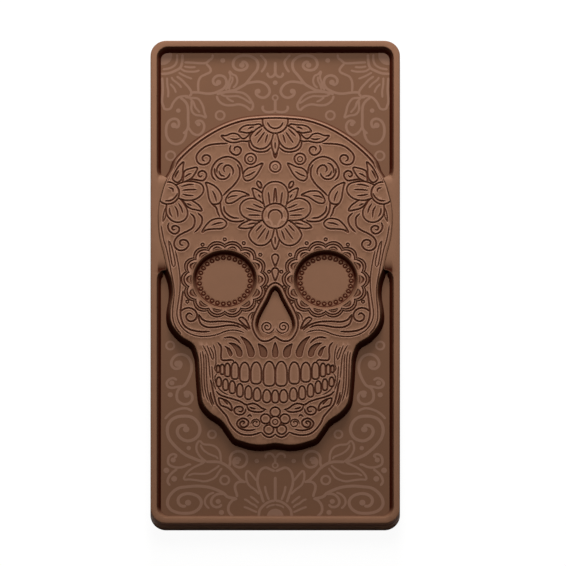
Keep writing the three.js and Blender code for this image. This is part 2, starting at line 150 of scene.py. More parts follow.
class TabletColours(bpy.types.PropertyGroup):
    """Colours of the tablet."""
    relief: bpy.props.FloatVectorProperty(
        name="Relief brown", description="Rim and skull", subtype="COLOR", size=4, min=0, max=1,
        default=(0.226, 0.113, 0.067, 1))
    # Painted shade: this dark brown is painted into the bottoms of the engraved lines and onto walls turned
    # away from the lamps
    painted_shade_brown: bpy.props.FloatVectorProperty(
        name="Line brown", description="Bottom of the engraved lines", subtype="COLOR", size=4, min=0, max=1,
        default=(0.05, 0.005, 0.0008, 1))
    # Painted highlight: this paler brown is painted onto the raised edges beside the engraved lines, the
    # crown's edge, the webs' upper ends and the eye rings' ridges
    edge: bpy.props.FloatVectorProperty(
        name="Edge brown", description="Raised edges beside the engraved lines", subtype="COLOR", size=4,
        min=0, max=1, default=(0.41, 0.225, 0.155, 1))
    field: bpy.props.FloatVectorProperty(
        name="Field brown", description="Field and sides", subtype="COLOR", size=4, min=0, max=1,
        default=(0.149, 0.072, 0.041, 1))
    pattern: bpy.props.FloatVectorProperty(
        name="Pattern brown", description="Raised lines on the field", subtype="COLOR", size=4, min=0, max=1,
        default=(0.24, 0.134, 0.092, 1))
    floor: bpy.props.FloatVectorProperty(
        name="Floor", description="Plain floor under the tablet", subtype="COLOR", size=4, min=0, max=1,
        default=(0.95, 0.95, 0.95, 1))


# Lines and outlines

def points(*values):
    """Flat list of x, y readings to an array of points."""
    return np.array(values, float).reshape(-1, 2)


def drawn(*values):
    """Readings on the skull, moved to the tablet's middle line."""
    return points(*values) + (DRAWING_SHIFT, 0)


def even(path, spacing=SPACING, closed=False):
    """The same path with evenly spaced points."""
    if closed:
        path = np.vstack([path, path[:1]])
    run = np.r_[0, np.cumsum(np.hypot(*np.diff(path, axis=0).T))]
    count = max(2 if not closed else 6, int(round(run[-1] / spacing)))
    at = np.linspace(0, run[-1], count + 1)
    out = np.column_stack([np.interp(at, run, path[:, 0]), np.interp(at, run, path[:, 1])])
    return out[:-1] if closed else out


def smooth(path, closed=False, spacing=SPACING):
    """A centripetal curve through the points."""
    if closed:
        ext = np.vstack([path[-1:], path, path[:2]])
    else:
        ext = np.vstack([2 * path[:1] - path[1:2], path, 2 * path[-1:] - path[-2:-1]])
    out = []
    for a, b, c, d in zip(ext, ext[1:], ext[2:], ext[3:]):
        knots = np.cumsum([0] + [max(1e-4, math.sqrt(math.dist(p, q))) for p, q in ((a, b), (b, c), (c, d))])
        k0, k1, k2, k3 = knots
        t = np.linspace(k1, k2, 10, endpoint=False)[:, None]
        ab = ((k1 - t) * a + (t - k0) * b) / (k1 - k0)
        bc = ((k2 - t) * b + (t - k1) * c) / (k2 - k1)
        cd = ((k3 - t) * c + (t - k2) * d) / (k3 - k2)
        abc = ((k2 - t) * ab + (t - k0) * bc) / (k2 - k0)
        bcd = ((k3 - t) * bc + (t - k1) * cd) / (k3 - k1)
        out.append(((k2 - t) * abc + (t - k1) * bcd) / (k2 - k1))
    if not closed:
        out.append(path[-1:])
    return even(np.vstack(out), spacing, closed)


def mirrored(path):
    """The path's mirror image in the middle line."""
    return (path * (-1, 1))[::-1]


def both_halves(half):
    """A closed outline from a left half that starts and ends on the middle line."""
    return np.vstack([half, mirrored(half)[1:-1]])


def runs_anticlockwise(outline):
    """True for an outline that runs anticlockwise."""
    x, y = outline.T
    return np.dot(x, np.roll(y, -1)) - np.dot(y, np.roll(x, -1)) > 0


def anticlockwise(outline):
    """The outline, turned to run anticlockwise."""
    return outline if runs_anticlockwise(outline) else outline[::-1]


def normals(outline, closed=True):
    """Unit normals to the right of the path, out of an anticlockwise outline."""
    if closed:
        along = np.roll(outline, -1, 0) - np.roll(outline, 1, 0)
    else:
        along = np.gradient(outline, axis=0)
    length = np.maximum(np.hypot(*along.T), 1e-9)[:, None]
    return np.column_stack([along[:, 1], -along[:, 0]]) / length


def nearest(spots, path, closed):
    """For each spot its distance to a path, the nearest stretch of the path and how far along that it is."""
    tree = KDTree(len(path))
    for i, (x, y) in enumerate(path):
        tree.insert((x, y, 0), i)
    tree.balance()
    index = np.array([tree.find((x, y, 0))[1] for x, y in spots], np.int64)
    far = np.full(len(spots), 1e9)
    stretch, share = np.zeros(len(spots), np.int64), np.zeros(len(spots))
    for k in (-1, 0):
        start = (index + k) % len(path) if closed else np.clip(index + k, 0, len(path) - 2)
        a, b = path[start], path[(start + 1) % len(path)]
        step = b - a
        t = np.clip(((spots - a) * step).sum(1) / np.maximum((step ** 2).sum(1), 1e-12), 0, 1)
        gap = np.hypot(*(spots - a - t[:, None] * step).T)
        less = gap < far
        far[less], stretch[less], share[less] = gap[less], start[less], t[less]
    return far, stretch, share


def away_from(spots, path):
    """Distance of each spot to a closed outline."""
    if not len(spots):
        return np.zeros(0)
    return nearest(spots, even(path, FINE_SPACING, True), True)[0]


def grown(outline, distance, spacing=SPACING):
    """The outline moved out by a distance, or in for a negative one, without loops at tight corners."""
    outline = anticlockwise(outline)
    fine = even(outline, 0.1, True)
    moved = fine + normals(fine) * distance
    keep = nearest(moved, fine, True)[0] > abs(distance) * 0.96
    return even(moved[keep], spacing, True)


def inside(spots, outline):
    """True for each spot inside a closed outline."""
    order = np.argsort(spots[:, 1])
    x, y = spots[order].T
    odd = np.zeros(len(spots), bool)
    for (x0, y0), (x1, y1) in zip(outline, np.roll(outline, -1, 0)):
        if y0 != y1:
            i, j = np.searchsorted(y, min(y0, y1)), np.searchsorted(y, max(y0, y1))
            if i < j:
                odd[i:j] ^= x[i:j] < x0 + (y[i:j] - y0) * (x1 - x0) / (y1 - y0)
    out = np.empty_like(odd)
    out[order] = odd
    return out


def circle(x, y, radius, radius_y=None, count=None):
    """A circle, or an ellipse with a second radius."""
    count = count or max(12, int(2 * math.pi * radius / ROUND_SPACING))
    turn = np.arange(count) / count * 2 * math.pi
    return np.column_stack([x + radius * np.cos(turn), y + (radius_y or radius) * np.sin(turn)])


def arc(x, y, radius, start, stop):
    """Open arc, degrees."""
    count = max(4, int(abs(math.radians(stop - start)) * radius / ROUND_SPACING))
    turn = np.radians(np.linspace(start, stop, count + 1))
    return np.column_stack([x + radius * np.cos(turn), y + radius * np.sin(turn)])


def spiral(x, y, outer, inner, start, turns):
    """A spiral that closes in on its centre."""
    t = np.linspace(0, 1, int(abs(turns) * 40) + 2)
    turn = math.radians(start) + t * turns * 2 * math.pi
    radius = outer + (inner - outer) * t ** 0.9
    return even(np.column_stack([x + radius * np.cos(turn), y + radius * np.sin(turn)]), FINE_SPACING)


def hung_drop(top, bottom, half):
    """A drop on the middle line with its point down, drawn the other way up and turned over."""
    bowl_y = half - top
    turn = np.radians(np.linspace(170, 370, 14))
    bowl = np.column_stack([half * np.cos(turn), bowl_y + half * np.sin(turn)])
    rise = -bottom - bowl_y
    waist, tip = bowl_y + rise * 0.52, bowl_y + rise * 0.9
    sides = points(half * 0.62, waist, half * 0.18, tip, 0, -bottom, -half * 0.18, tip, -half * 0.62, waist)
    return even(np.vstack([bowl, sides]), FINE_SPACING, True) * (1, -1)


def tooth(left, right, top, bottom, blunt=0.75):
    """A tooth's face: an arched top and a flatter foot with round corners."""
    half = (right - left) / 2
    middle = left + half
    arch = min(2.1 * half, (top - bottom) * 0.55)
    foot = blunt * half
    turn = np.radians(np.linspace(0, 180, 17))
    crown = np.column_stack([middle + half * np.cos(turn), top - arch + arch * np.sin(turn)])
    turn = np.radians(np.linspace(180, 270, 6))
    corner = np.column_stack([left + foot + foot * np.cos(turn), bottom + foot + foot * np.sin(turn)])
    other = mirrored(corner) + (2 * middle, 0)
    return even(np.vstack([crown, corner, other]), FINE_SPACING, True)


class Line:
    """An engraved line: its path, half its width along it, and its depth as a share of the line depth."""

    def __init__(self, path, width, depth=1.0, closed=False):
        self.path = np.vstack([path, path[:1]]) if closed else path
        count = len(self.path)
        self.half = np.full(count, width / 2)
        if not closed:
            run = np.r_[0, np.cumsum(np.hypot(*np.diff(self.path, axis=0).T))]
            reach = min(TIP_LENGTH, run[-1] * 0.35)
            end = np.clip(np.minimum(run, run[-1] - run) / reach, 0, 1)
            self.half *= TIP_SHARE + (1 - TIP_SHARE) * np.sqrt(end)
        self.depth = depth
        self.closed = closed
        self.measure()

    def measure(self):
        """The box that holds all the line's effect."""
        reach = self.half.max() + CUT_REACH
        self.low, self.high = self.path.min(0) - reach, self.path.max(0) + reach

    def mirror(self):
        other = Line.__new__(Line)
        other.__dict__.update(self.__dict__)
        other.path, other.half = mirrored(self.path), self.half[::-1]
        other.measure()
        return other

    def rows(self):
        """Points along both lips and both foot lines of the groove, and round its ends."""
        side = normals(self.path, False)
        floor = np.maximum(self.half - GROOVE_WALL, 0)
        offsets = (self.half + RIDGE_FOOT, self.half + RIDGE_PEAK, self.half, floor)
        rows = [self.path + side * h[:, None] * s for h in offsets for s in (1, -1)]
        if self.half.max() > WIDE_HALF:
            rows.append(self.path)
        if not self.closed:
            for end, out in ((self.path[0], self.path[0] - self.path[1]),
                             (self.path[-1], self.path[-1] - self.path[-2])):
                half = self.half[0 if end is self.path[0] else -1]
                face = math.degrees(math.atan2(out[1], out[0]))
                for radius in (half, max(half - GROOVE_WALL, 0)):
                    turn = np.radians(face + np.linspace(-60, 60, 4))
                    rows.append(end + radius * np.column_stack([np.cos(turn), np.sin(turn)]))
        return np.vstack(rows)


class Pocket:
    """A flat sunk space inside a closed outline, as deep as a line."""
    depth = 1.0

    def __init__(self, outline):
        self.outline = anticlockwise(outline)
        self.low, self.high = outline.min(0) - CUT_REACH, outline.max(0) + CUT_REACH

    def mirror(self):
        return Pocket(mirrored(self.outline))

    def rows(self):
        """Points along the ridge outside the outline, along its lip and along the foot of its wall."""
        out = normals(self.outline)
        insets = (-RIDGE_FOOT, -RIDGE_PEAK, 0, GROOVE_WALL, GROOVE_WALL + POCKET_FOOT)
        return np.vstack([self.outline - out * inset for inset in insets])


class Cover:
    """A shape that lies over what was engraved before it."""

    def __init__(self, outline):
        self.outline = anticlockwise(outline)
        self.low, self.high = outline.min(0), outline.max(0)

    def mirror(self):
        return Cover(mirrored(self.outline))

    def rows(self):
        """A cover needs no points of its own."""
        return np.zeros((0, 2))


def ridge_beside(out):
    """Height of the soft ridge at a distance outside a groove's lip."""
    falling = 1 - (out - RIDGE_PEAK) / (RIDGE_FOOT - RIDGE_PEAK)
    rising = 0.35 + 0.65 * out / RIDGE_PEAK
    return RIDGE_HEIGHT * np.clip(np.minimum(falling, rising), 0, 1)


def cut_depth(spots, cuts, line_depth):
    """How deep the engraving is at each spot, and its mark: painted shade above 0 in the lines, painted
    highlight below 0 beside them.
    """
    deep, dark, lift = (np.zeros(len(spots)) for _ in range(3))
    for cut in cuts:
        near = np.flatnonzero(((spots > cut.low) & (spots < cut.high)).all(1))
        if not len(near):
            continue
        q = spots[near]
        if isinstance(cut, Cover):
            bare = near[inside(q, cut.outline)]
            deep[bare] = dark[bare] = lift[bare] = 0
            continue
        if isinstance(cut, Pocket):
            within = away_from(q, cut.outline) * np.where(inside(q, cut.outline), 1, -1)
            shade = 1 - 0.5 * np.clip((within - GROOVE_WALL) / POCKET_FOOT, 0, 1)
        else:
            far, start, t = nearest(q, cut.path, False)
            within = cut.half[start] * (1 - t) + cut.half[start + 1] * t - far
            shade = 0.86
        slope = np.clip(within / GROOVE_WALL, 0, 1)
        deep[near] = np.maximum(deep[near], cut.depth * line_depth * slope ** 1.3)
        dark[near] = np.maximum(dark[near], slope ** 1.1 * shade)
        lift[near] = np.maximum(lift[near], np.where(within <= 0.01, ridge_beside(-within), 0))
    return np.where(deep > 0.01, deep, -lift), np.where(dark > 0.02, dark, -lift / RIDGE_HEIGHT)


def thinned(spots, gap=0.06):
    """Drops spots that nearly meet."""
    for shift in (0, gap / 2):
        cells = np.floor((spots + shift) / gap).astype(np.int64)
        _, first = np.unique(cells, axis=0, return_index=True)
        spots = spots[np.sort(first)]
    return spots


def filler(outlines, gap):
    """A loose grid over some outlines, to keep flat places free of long thin faces."""
    both = np.vstack(outlines)
    low, high = both.min(0), both.max(0)
    x = np.arange(low[0] + gap / 2, high[0], gap)
    y = np.arange(low[1] + gap / 2, high[1], gap)
    return np.stack(np.meshgrid(x, y), -1).reshape(-1, 2)


# Solids

def new_piece(name, verts, faces, material, engraved, ride=True):
    """A piece from points in millimetres, with a mark on each point: painted shade above 0, painted highlight
    below 0.
    """
    mesh = bpy.data.meshes.new(name)
    mesh.from_pydata([tuple(v) for v in verts * MM], [], [tuple(map(int, f)) for f in faces])
    # the engraved attribute carries painted shade and painted highlight for the material
    layer = mesh.attributes.new("engraved", "FLOAT", "POINT")
    layer.data.foreach_set("value", np.asarray(engraved, np.float32))
    mesh.update()
    mesh.polygons.foreach_set("use_smooth", np.ones(len(mesh.polygons), bool))
    mesh.set_sharp_from_angle(angle=SHARP_ANGLE)
    mesh.materials.append(material)
    piece = bpy.data.objects.new(name, mesh)
    bpy.context.scene.collection.objects.link(piece)
    if ride:
        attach(piece, "root")
    return piece


def triangles(loops, spots, solid_loops, hole_loops):
    """Constrained triangulation of closed loops and loose spots, cut to what is inside."""
    coords, edges = [], []
    for loop in loops:
        first = len(coords)
        count = len(loop)
        coords += [Vector((float(x), float(y))) for x, y in loop]
        edges += [(first + i, first + (i + 1) % count) for i in range(count)]
    coords += [Vector((float(x), float(y))) for x, y in spots]
    flat, _, faces, *_ = delaunay_2d_cdt(coords, edges, [], 0, 1e-6, False)
    flat = np.array([(v.x, v.y) for v in flat])
    faces = np.array([f for f in faces if len(f) == 3])
    middle = flat[faces].mean(1)
    keep = np.zeros(len(faces), bool)
    for loop in solid_loops:
        keep |= inside(middle, loop)
    for loop in hole_loops:
        keep &= ~inside(middle, loop)
    faces = faces[keep]
    a, b, c = flat[faces[:, 0]], flat[faces[:, 1]], flat[faces[:, 2]]
    area = (b[:, 0] - a[:, 0]) * (c[:, 1] - a[:, 1]) - (b[:, 1] - a[:, 1]) * (c[:, 0] - a[:, 0])
    faces[area < 0] = faces[area < 0][:, ::-1]
    faces = faces[abs(area) > 1e-9]
    used, where = np.unique(faces, return_inverse=True)
    return flat[used], where.reshape(faces.shape)


def edge_loops(faces):
    """The open edges of a sheet as ordered loops, with the sheet on their left."""
    edges = np.vstack([faces[:, [0, 1]], faces[:, [1, 2]], faces[:, [2, 0]]])
    pairs = set(map(tuple, edges))
    after = {}
    for a, b in pairs:
        if (b, a) not in pairs:
            after.setdefault(a, []).append(b)
    loops = []
    while after:
        start = next(iter(after))
        loop, here = [], start
        while here in after:
            loop.append(here)
            ahead = after[here].pop()
            if not after[here]:
                del after[here]
            here = ahead
            if here == start:
                break
        if len(loop) > 2:
            loops.append(loop)
    return loops


def underside(rings):
    """Triangles that fill edge loops, holes left open, with points numbered along all the loops in order."""
    first = np.cumsum([0] + [len(r) for r in rings])
    solid = [runs_anticlockwise(r) for r in rings]
    filled = []
    for k in np.flatnonzero(solid):
        holes = [h for h in range(len(rings)) if not solid[h] and inside(rings[h], rings[k]).mean() > 0.5]
        coords, edges, numbers = [], [], []
        for part in [k, *holes]:
            start, count = len(coords), len(rings[part])
            coords += [Vector((float(x), float(y))) for x, y in rings[part]]
            edges += [(start + i, start + (i + 1) % count) for i in range(count)]
            numbers += range(first[part], first[part] + count)
        _, _, faces, origins, *_ = delaunay_2d_cdt(coords, edges, [], 0, 1e-7, True)
        place = {n: v for v, group in enumerate(origins) for n in group}
        border = {(place[a], place[b]) for a, b in edges}
        owner = {(f[i - 1], f[i]): f for f in map(tuple, faces) for i in range(3)}
        kept, ahead = set(), [owner[e] for e in border if e in owner]
        while ahead:
            face = ahead.pop()
            if face not in kept:
                kept.add(face)
                sides = [(face[i - 1], face[i]) for i in range(3)]
                ahead += [owner[e[::-1]] for e in sides if e not in border and e[::-1] in owner]
        filled += [[numbers[origins[v][0]] for v in f] for f in sorted(kept)]
    return filled


def turned_from_light(ring):
    """Painted shade for a wall: 1 where it faces down or sideways on the tablet, away from the lamps, 0 where
    it faces the crown.
    """
    return np.clip(1.0 - 1.35 * normals(ring)[:, 1], 0, 1)


def relief(name, outers, holes, spots, height, walls, slot, material, hole_walls=None, ride=True):
    """A closed solid with a carved top. The walls give each edge loop its rows as (offset, z, mark), the mark
    being painted shade above 0 and painted highlight below 0.
    """
    keep = np.zeros(len(spots), bool)
    for loop in outers:
        keep |= inside(spots, loop)
    for loop in holes:
        keep &= ~inside(spots, loop)
    spots = spots[keep]
    for loop in outers + holes:
        near = np.flatnonzero(((spots > loop.min(0) - 0.2) & (spots < loop.max(0) + 0.2)).all(1))
        close = away_from(spots[near], loop) < 0.05
        spots = np.delete(spots, near[close], 0)
    flat, faces = triangles(outers + holes, thinned(spots), outers, holes)
    top, engraved = height(flat)
    verts = [np.column_stack([flat, top])]
    marks = [engraved]
    polygons = [tuple(f) for f in faces]
    count = len(flat)
    last = []
    loops = edge_loops(faces)
    for loop in loops:
        ring = flat[loop]
        out = normals(ring)
        above = np.array(loop)
        wall = walls if hole_walls is None or runs_anticlockwise(ring) else hole_walls
        for offset, z, mark in wall(ring, top[loop]):
            moved = ring + out * np.reshape(offset, (-1, 1))
            here = np.arange(count, count + len(loop))
            verts.append(np.column_stack([moved, np.broadcast_to(z, len(loop))]))
            marks.append(np.broadcast_to(mark, len(loop)))
            for i in range(len(loop)):
                j = (i + 1) % len(loop)
                polygons.append((here[i], here[j], above[j], above[i]))
            above = here
            count += len(loop)
        last += list(above)
    polygons += [(last[a], last[c], last[b]) for a, b, c in underside([flat[loop] for loop in loops])]
    return new_piece(name, np.vstack(verts), polygons, material, np.concatenate(marks), ride)


def rounded(radius, steps=4):
    """Offsets and drops of a rounded upper edge, from the top face outwards."""
    turn = [k / steps * math.pi / 2 for k in range(1, steps + 1)]
    return [(radius * math.sin(a), -radius * (1 - math.cos(a))) for a in turn]


def rounded_rectangle(width, length, radius):
    """The tablet's outline, with a point about every 4 mm on its straight sides."""
    x, y = width / 2 - radius, length / 2 - radius
    parts = []
    for cx, cy, start in ((x, y, 0), (-x, y, 90), (-x, -y, 180), (x, -y, 270)):
        turn = np.radians(np.linspace(start, start + 90, 13))
        parts.append(np.column_stack([cx + radius * np.cos(turn), cy + radius * np.sin(turn)]))
    corners = np.vstack(parts)
    out = []
    for a, b in zip(corners, np.roll(corners, -1, 0)):
        gap = math.dist(a, b)
        share = np.linspace(0, 1, max(1, int(gap / 4)) + 1)[:-1, None]
        out.append(a + (b - a) * share)
    return np.vstack(out)


# The skull's drawing, left half

SKULL_HALF = drawn(
    -0.35, 52.1, -5, 51.9, -10, 51.3, -15, 49.7, -20, 47.1, -25, 43.5, -30, 38.6, -32, 35.6, -33.5, 33.2,
    -34.5, 31, -35.5, 27.5, -36, 25.4, -36.35, 23, -36.5, 20.5, -36.35, 17, -36, 14, -35.5, 11.7, -34.8, 9,
    -33.9, 5, -33.2, 3, -32.3, 0, -32, -2.5, -32.1, -5, -32.6, -8, -32.8, -10, -32.7, -12, -32, -14,
    -31, -15.5, -30, -16.6, -29, -17.6, -27.7, -18.4, -26.5, -19.1, -25.5, -20, -25, -21, -24.5, -22.5,
    -24.1, -24, -23.9, -26, -23.7, -30, -23.2, -36, -22.9, -38, -22.2, -39.5, -21.3, -40.7, -20, -42,
    -18.5, -43, -17, -44.1, -16, -45.2, -15, -46.7, -14, -48.2, -12.6, -50, -10, -51, -8, -51.6, -6, -51.9,
    -4, -51.9, -2, -51.6, -0.35, -51.4)

# The nose opening, and how far outside it the engraved line round it runs
NOSE_LINE_OUT = 0.98
NOSE_HALF = points(
    0, -1.3, -1.3, -2.2, -2.7, -5.2, -4.8, -9.2, -5.8, -11.6, -6.1, -14, -5.3, -16.3, -4, -17.8, -2.6, -17.9,
    -1.2, -17.2, 0, -16.3)

# The left eye's centre, and the radii of its socket's lip and of the scallops' crests
EYE = (-15.58, 0.8)
LIP = (9.85, 9.3)
CREST = (13.36, 12.16)
SCALLOP_RISE = 1.25
SCALLOP_STEPS = 18
CREST_LIP = 0.34

# Closed shapes of the flowers, from back to front, as the middle of their outline
CROWN = [
    drawn(-0.35, 40.5, -1.2, 42.3, -1.5, 44.2, -1.2, 46.4, -0.35, 48.6, 0.5, 46.4, 0.8, 44.2, 0.5, 42.3),
    drawn(-4.6, 48.9, -5, 50.2, -7, 50, -9, 49.9, -10.5, 49.3, -11.5, 47.9, -10.7, 47.8, -9, 47.5,
          -7.5, 47.8, -6.4, 48.2),
    drawn(-7.6, 48, -8.3, 47, -9.4, 45.9, -10.2, 45.6, -11, 46, -11.8, 46.9, -13, 47.3, -14, 47.2,
          -15.5, 46.6, -17, 46.6, -16.3, 45.7, -15, 44.8, -13.3, 44.4, -11.8, 44.6, -10.4, 44.9, -9, 44.8,
          -7.4, 45.8),
    drawn(-8.1, 46.2, -7.8, 44.5, -6.9, 43.1, -5, 42.4, -3.3, 42.8, -2, 44.1, -1.1, 46.4, -1, 48.6,
          -3.6, 49.8, -6.2, 48.6),
]
CROWN_DISC = (0, 51.3, 3.9)
CROWN_VEINS = [
    drawn(-4.4, 48.8, -6.7, 46.4), drawn(-3.6, 47.8, -5.9, 44.3), drawn(-2.7, 47, -3.5, 44.3),
    drawn(-8.8, 48.7, -7.8, 49.2, -6.9, 49.4), drawn(-14.2, 45.7, -12.8, 45.4, -11.3, 45.7),
    drawn(-0.35, 44.5, -0.35, 42.4),
]
FOREHEAD_TOP = drawn(-0.35, 31.9, -2, 31.6, -3.6, 30.3, -4.3, 28.2, -4.1, 26, -3.3, 23.6, -0.35, 22.4)
FOREHEAD = [
    drawn(-4, 26.5, -4.3, 28.2, -4.8, 28.6, -6, 29.4, -7.4, 29.8, -7.2, 28.6, -6.8, 27.2, -5.6, 25.7,
          -4.2, 24.8),
    drawn(-11.6, 17.3, -10.7, 18.4, -9.2, 19.2, -7.6, 19.8, -5.2, 19.8, -4.4, 18.8, -6.2, 18, -7.8, 17.3,
          -9.5, 17, -10.6, 17.1),
    drawn(-6.9, 26.5, -8.5, 26.5, -10.3, 25.6, -11.2, 24, -11, 22, -9.8, 20.6, -8, 19.8, -5, 19.6, -3, 20,
          -2, 21.6, -3.2, 24, -5, 25.6),
    drawn(-8, 16.2, -8.5, 14.8, -7.6, 13, -6, 11.8, -4.5, 11.6, -3, 12.1, -1.6, 13.6, -0.9, 15.8, -0.9, 18,
          -2, 20, -4.3, 19.6, -6.6, 18),
]
FOREHEAD_LEAF = drawn(-0.35, 10.3, -1.3, 12.2, -1.6, 14.2, -1.3, 16, -0.35, 18.4, 0.6, 16, 0.9, 14.2,
                      0.6, 12.2)
FOREHEAD_DISC = (0, 21, 4)
FOREHEAD_VEINS = [
    drawn(-2.5, 28.6, -2, 24.4), drawn(-7.2, 24.8, -5, 23.8, -4, 23.5),
    drawn(-9.3, 23.5, -6, 22.7, -4.6, 22.4), drawn(-8.7, 21.3, -4.9, 21.2),
    drawn(-4.4, 18.2, -6.3, 16.1), drawn(-3.3, 17.2, -5.8, 13.6),
    drawn(-2.3, 16.4, -3.3, 13.4), drawn(-5.6, 27.9, -4.9, 26.8), drawn(-8.9, 18.3, -7.5, 18.6, -6.3, 18.8),
]
TEMPLE = [
    drawn(-32, 32.8, -31.3, 34.8, -30.4, 36.4, -29.5, 37.5, -28.7, 38.2, -28.9, 36, -29, 33.8, -29.5, 32.5,
          -30.6, 31.7),
    drawn(-28.7, 32.9, -28.6, 34.4, -28.2, 35.4, -26.5, 36.1, -24.4, 36.4, -25.2, 34.4, -26.3, 33,
          -27.5, 32.3, -28.8, 31.8),
    drawn(-28.8, 26.2, -27.8, 24.4, -26.5, 23.4, -25, 23, -23, 22.7, -23.8, 24.2, -25, 25.2, -26.8, 26.2),
    drawn(-34, 23, -33.8, 21.5, -33, 20.2, -31.8, 19.3, -30.3, 19, -28.7, 19.5, -27.6, 20.8, -27.5, 22.6,
          -28.4, 24.6, -30, 26.6, -33, 27),
    drawn(-31, 30.6, -28.6, 31.8, -26.5, 32, -25, 31.8, -23.2, 31.1, -22.5, 29.8, -22.7, 28.4, -23.9, 27,
          -25.2, 26.3, -27, 26, -28.8, 26.2, -31, 27.4),
]
TEMPLE_DISC = (-33.15, 28.3, 3.5)
TEMPLE_VEINS = [
    drawn(-29.3, 30.4, -27, 31, -25.5, 31), drawn(-29, 29.2, -26.5, 29.4, -24.7, 29.4),
    drawn(-29, 28, -27.5, 27.6, -25.6, 27.5), drawn(-33, 23.6, -32.9, 22, -32.2, 20.8),
    drawn(-31.4, 24.2, -30.6, 22.6, -30.4, 20.6), drawn(-30.2, 25, -29.4, 23.6, -28.9, 21.9),
    drawn(-27.6, 25, -26.2, 24.3), drawn(-31.4, 33, -30.9, 34.2, -30.1, 35.6),
    drawn(-28.3, 33.4, -27.2, 34.2, -26.2, 34.6), drawn(-30.5, 28.2, -31.2, 27, -32.5, 26, -34.4, 25.8),
    drawn(-33.2, 30.1, -32, 29.6, -31.9, 28.6),
]
BROW_LEAF = drawn(-10, 34.9, -8.7, 36.2, -7, 36.6, -5.5, 37.3, -4.2, 37.8, -4.9, 36.2, -6.2, 34, -7.8, 32.6,
                  -9.4, 32.3, -10.2, 33.4)
BROW_VEIN = drawn(-9.8, 33.6, -8.2, 34.2, -6.5, 35.2)
STEM_INNER = drawn(-15.6, 26.2, -13.8, 28.7, -11.5, 28.9, -9.8, 28.4, -8.4, 27.6, -9.7, 27.4, -11, 26.9,
                   -12.5, 25.8, -14, 25.1, -15.4, 25.2)
STEM_INNER_VEIN = drawn(-15, 26.6, -14, 27.2, -12, 27.5)
STEM_UPPER = drawn(-21.8, 31.6, -19.5, 30.8, -18, 29.5, -17.1, 28, -16.9, 26.4, -17.8, 25, -19.8, 24.9,
                   -20.7, 26.3, -21.1, 28.5, -21.5, 30.6)
STEM_UPPER_VEIN = drawn(-19.7, 29, -18.9, 27.2, -18.5, 25.6)
STEM_LOWER = drawn(-22.9, 15.8, -22.6, 16.6, -21.5, 18.2, -20, 19.6, -18.5, 20.1, -16.9, 20.1, -15.6, 19.2,
                   -15.4, 18.3, -16, 17.5, -17, 17, -19, 16.9, -21.5, 16.6)
STEM_LOWER_VEIN = drawn(-20, 18, -18.5, 18.6, -16.5, 18.9)

# The chin flower's discs from back to front, and the ring in its middle: x, y, radius
CHIN_DISCS = ((0, -41.5, 1.5), (-3, -43.7, 1.5), (-2, -47.1, 1.45), (2, -47.1, 1.45), (3, -43.7, 1.5),
              (0, -44.7, 1.75))
CHIN_RING = (0, -44.7, 0.8)
# Teeth: left, right, top, bottom. The lower ones have rounder feet.
UPPER_TEETH = [
    (-3.6, -0.1, -25.4, -33.2), (-7.5, -4.3, -25.6, -32.5), (-10.9, -8, -25.7, -31.9),
    (-13.5, -11.4, -25.7, -31), (-15.5, -14, -26, -30.2), (-16.9, -15.8, -26.3, -29.5),
    (-18.1, -17.2, -26.6, -28.9),
]
LOWER_TEETH = [
    (-3.8, -1.4, -34.4, -38.5), (-6.7, -4.5, -33.8, -38), (-9.3, -7.3, -33.2, -37.5),
    (-11.8, -10, -32.5, -36.7), (-14.1, -12.4, -31.6, -35.6), (-16.1, -14.6, -31, -34.6),
    (-18.1, -16.7, -30.4, -33.4),
]
LOWER_MIDDLE = (-1, 1, -34.5, -38.6)
LOWER_BLUNT = 0.98

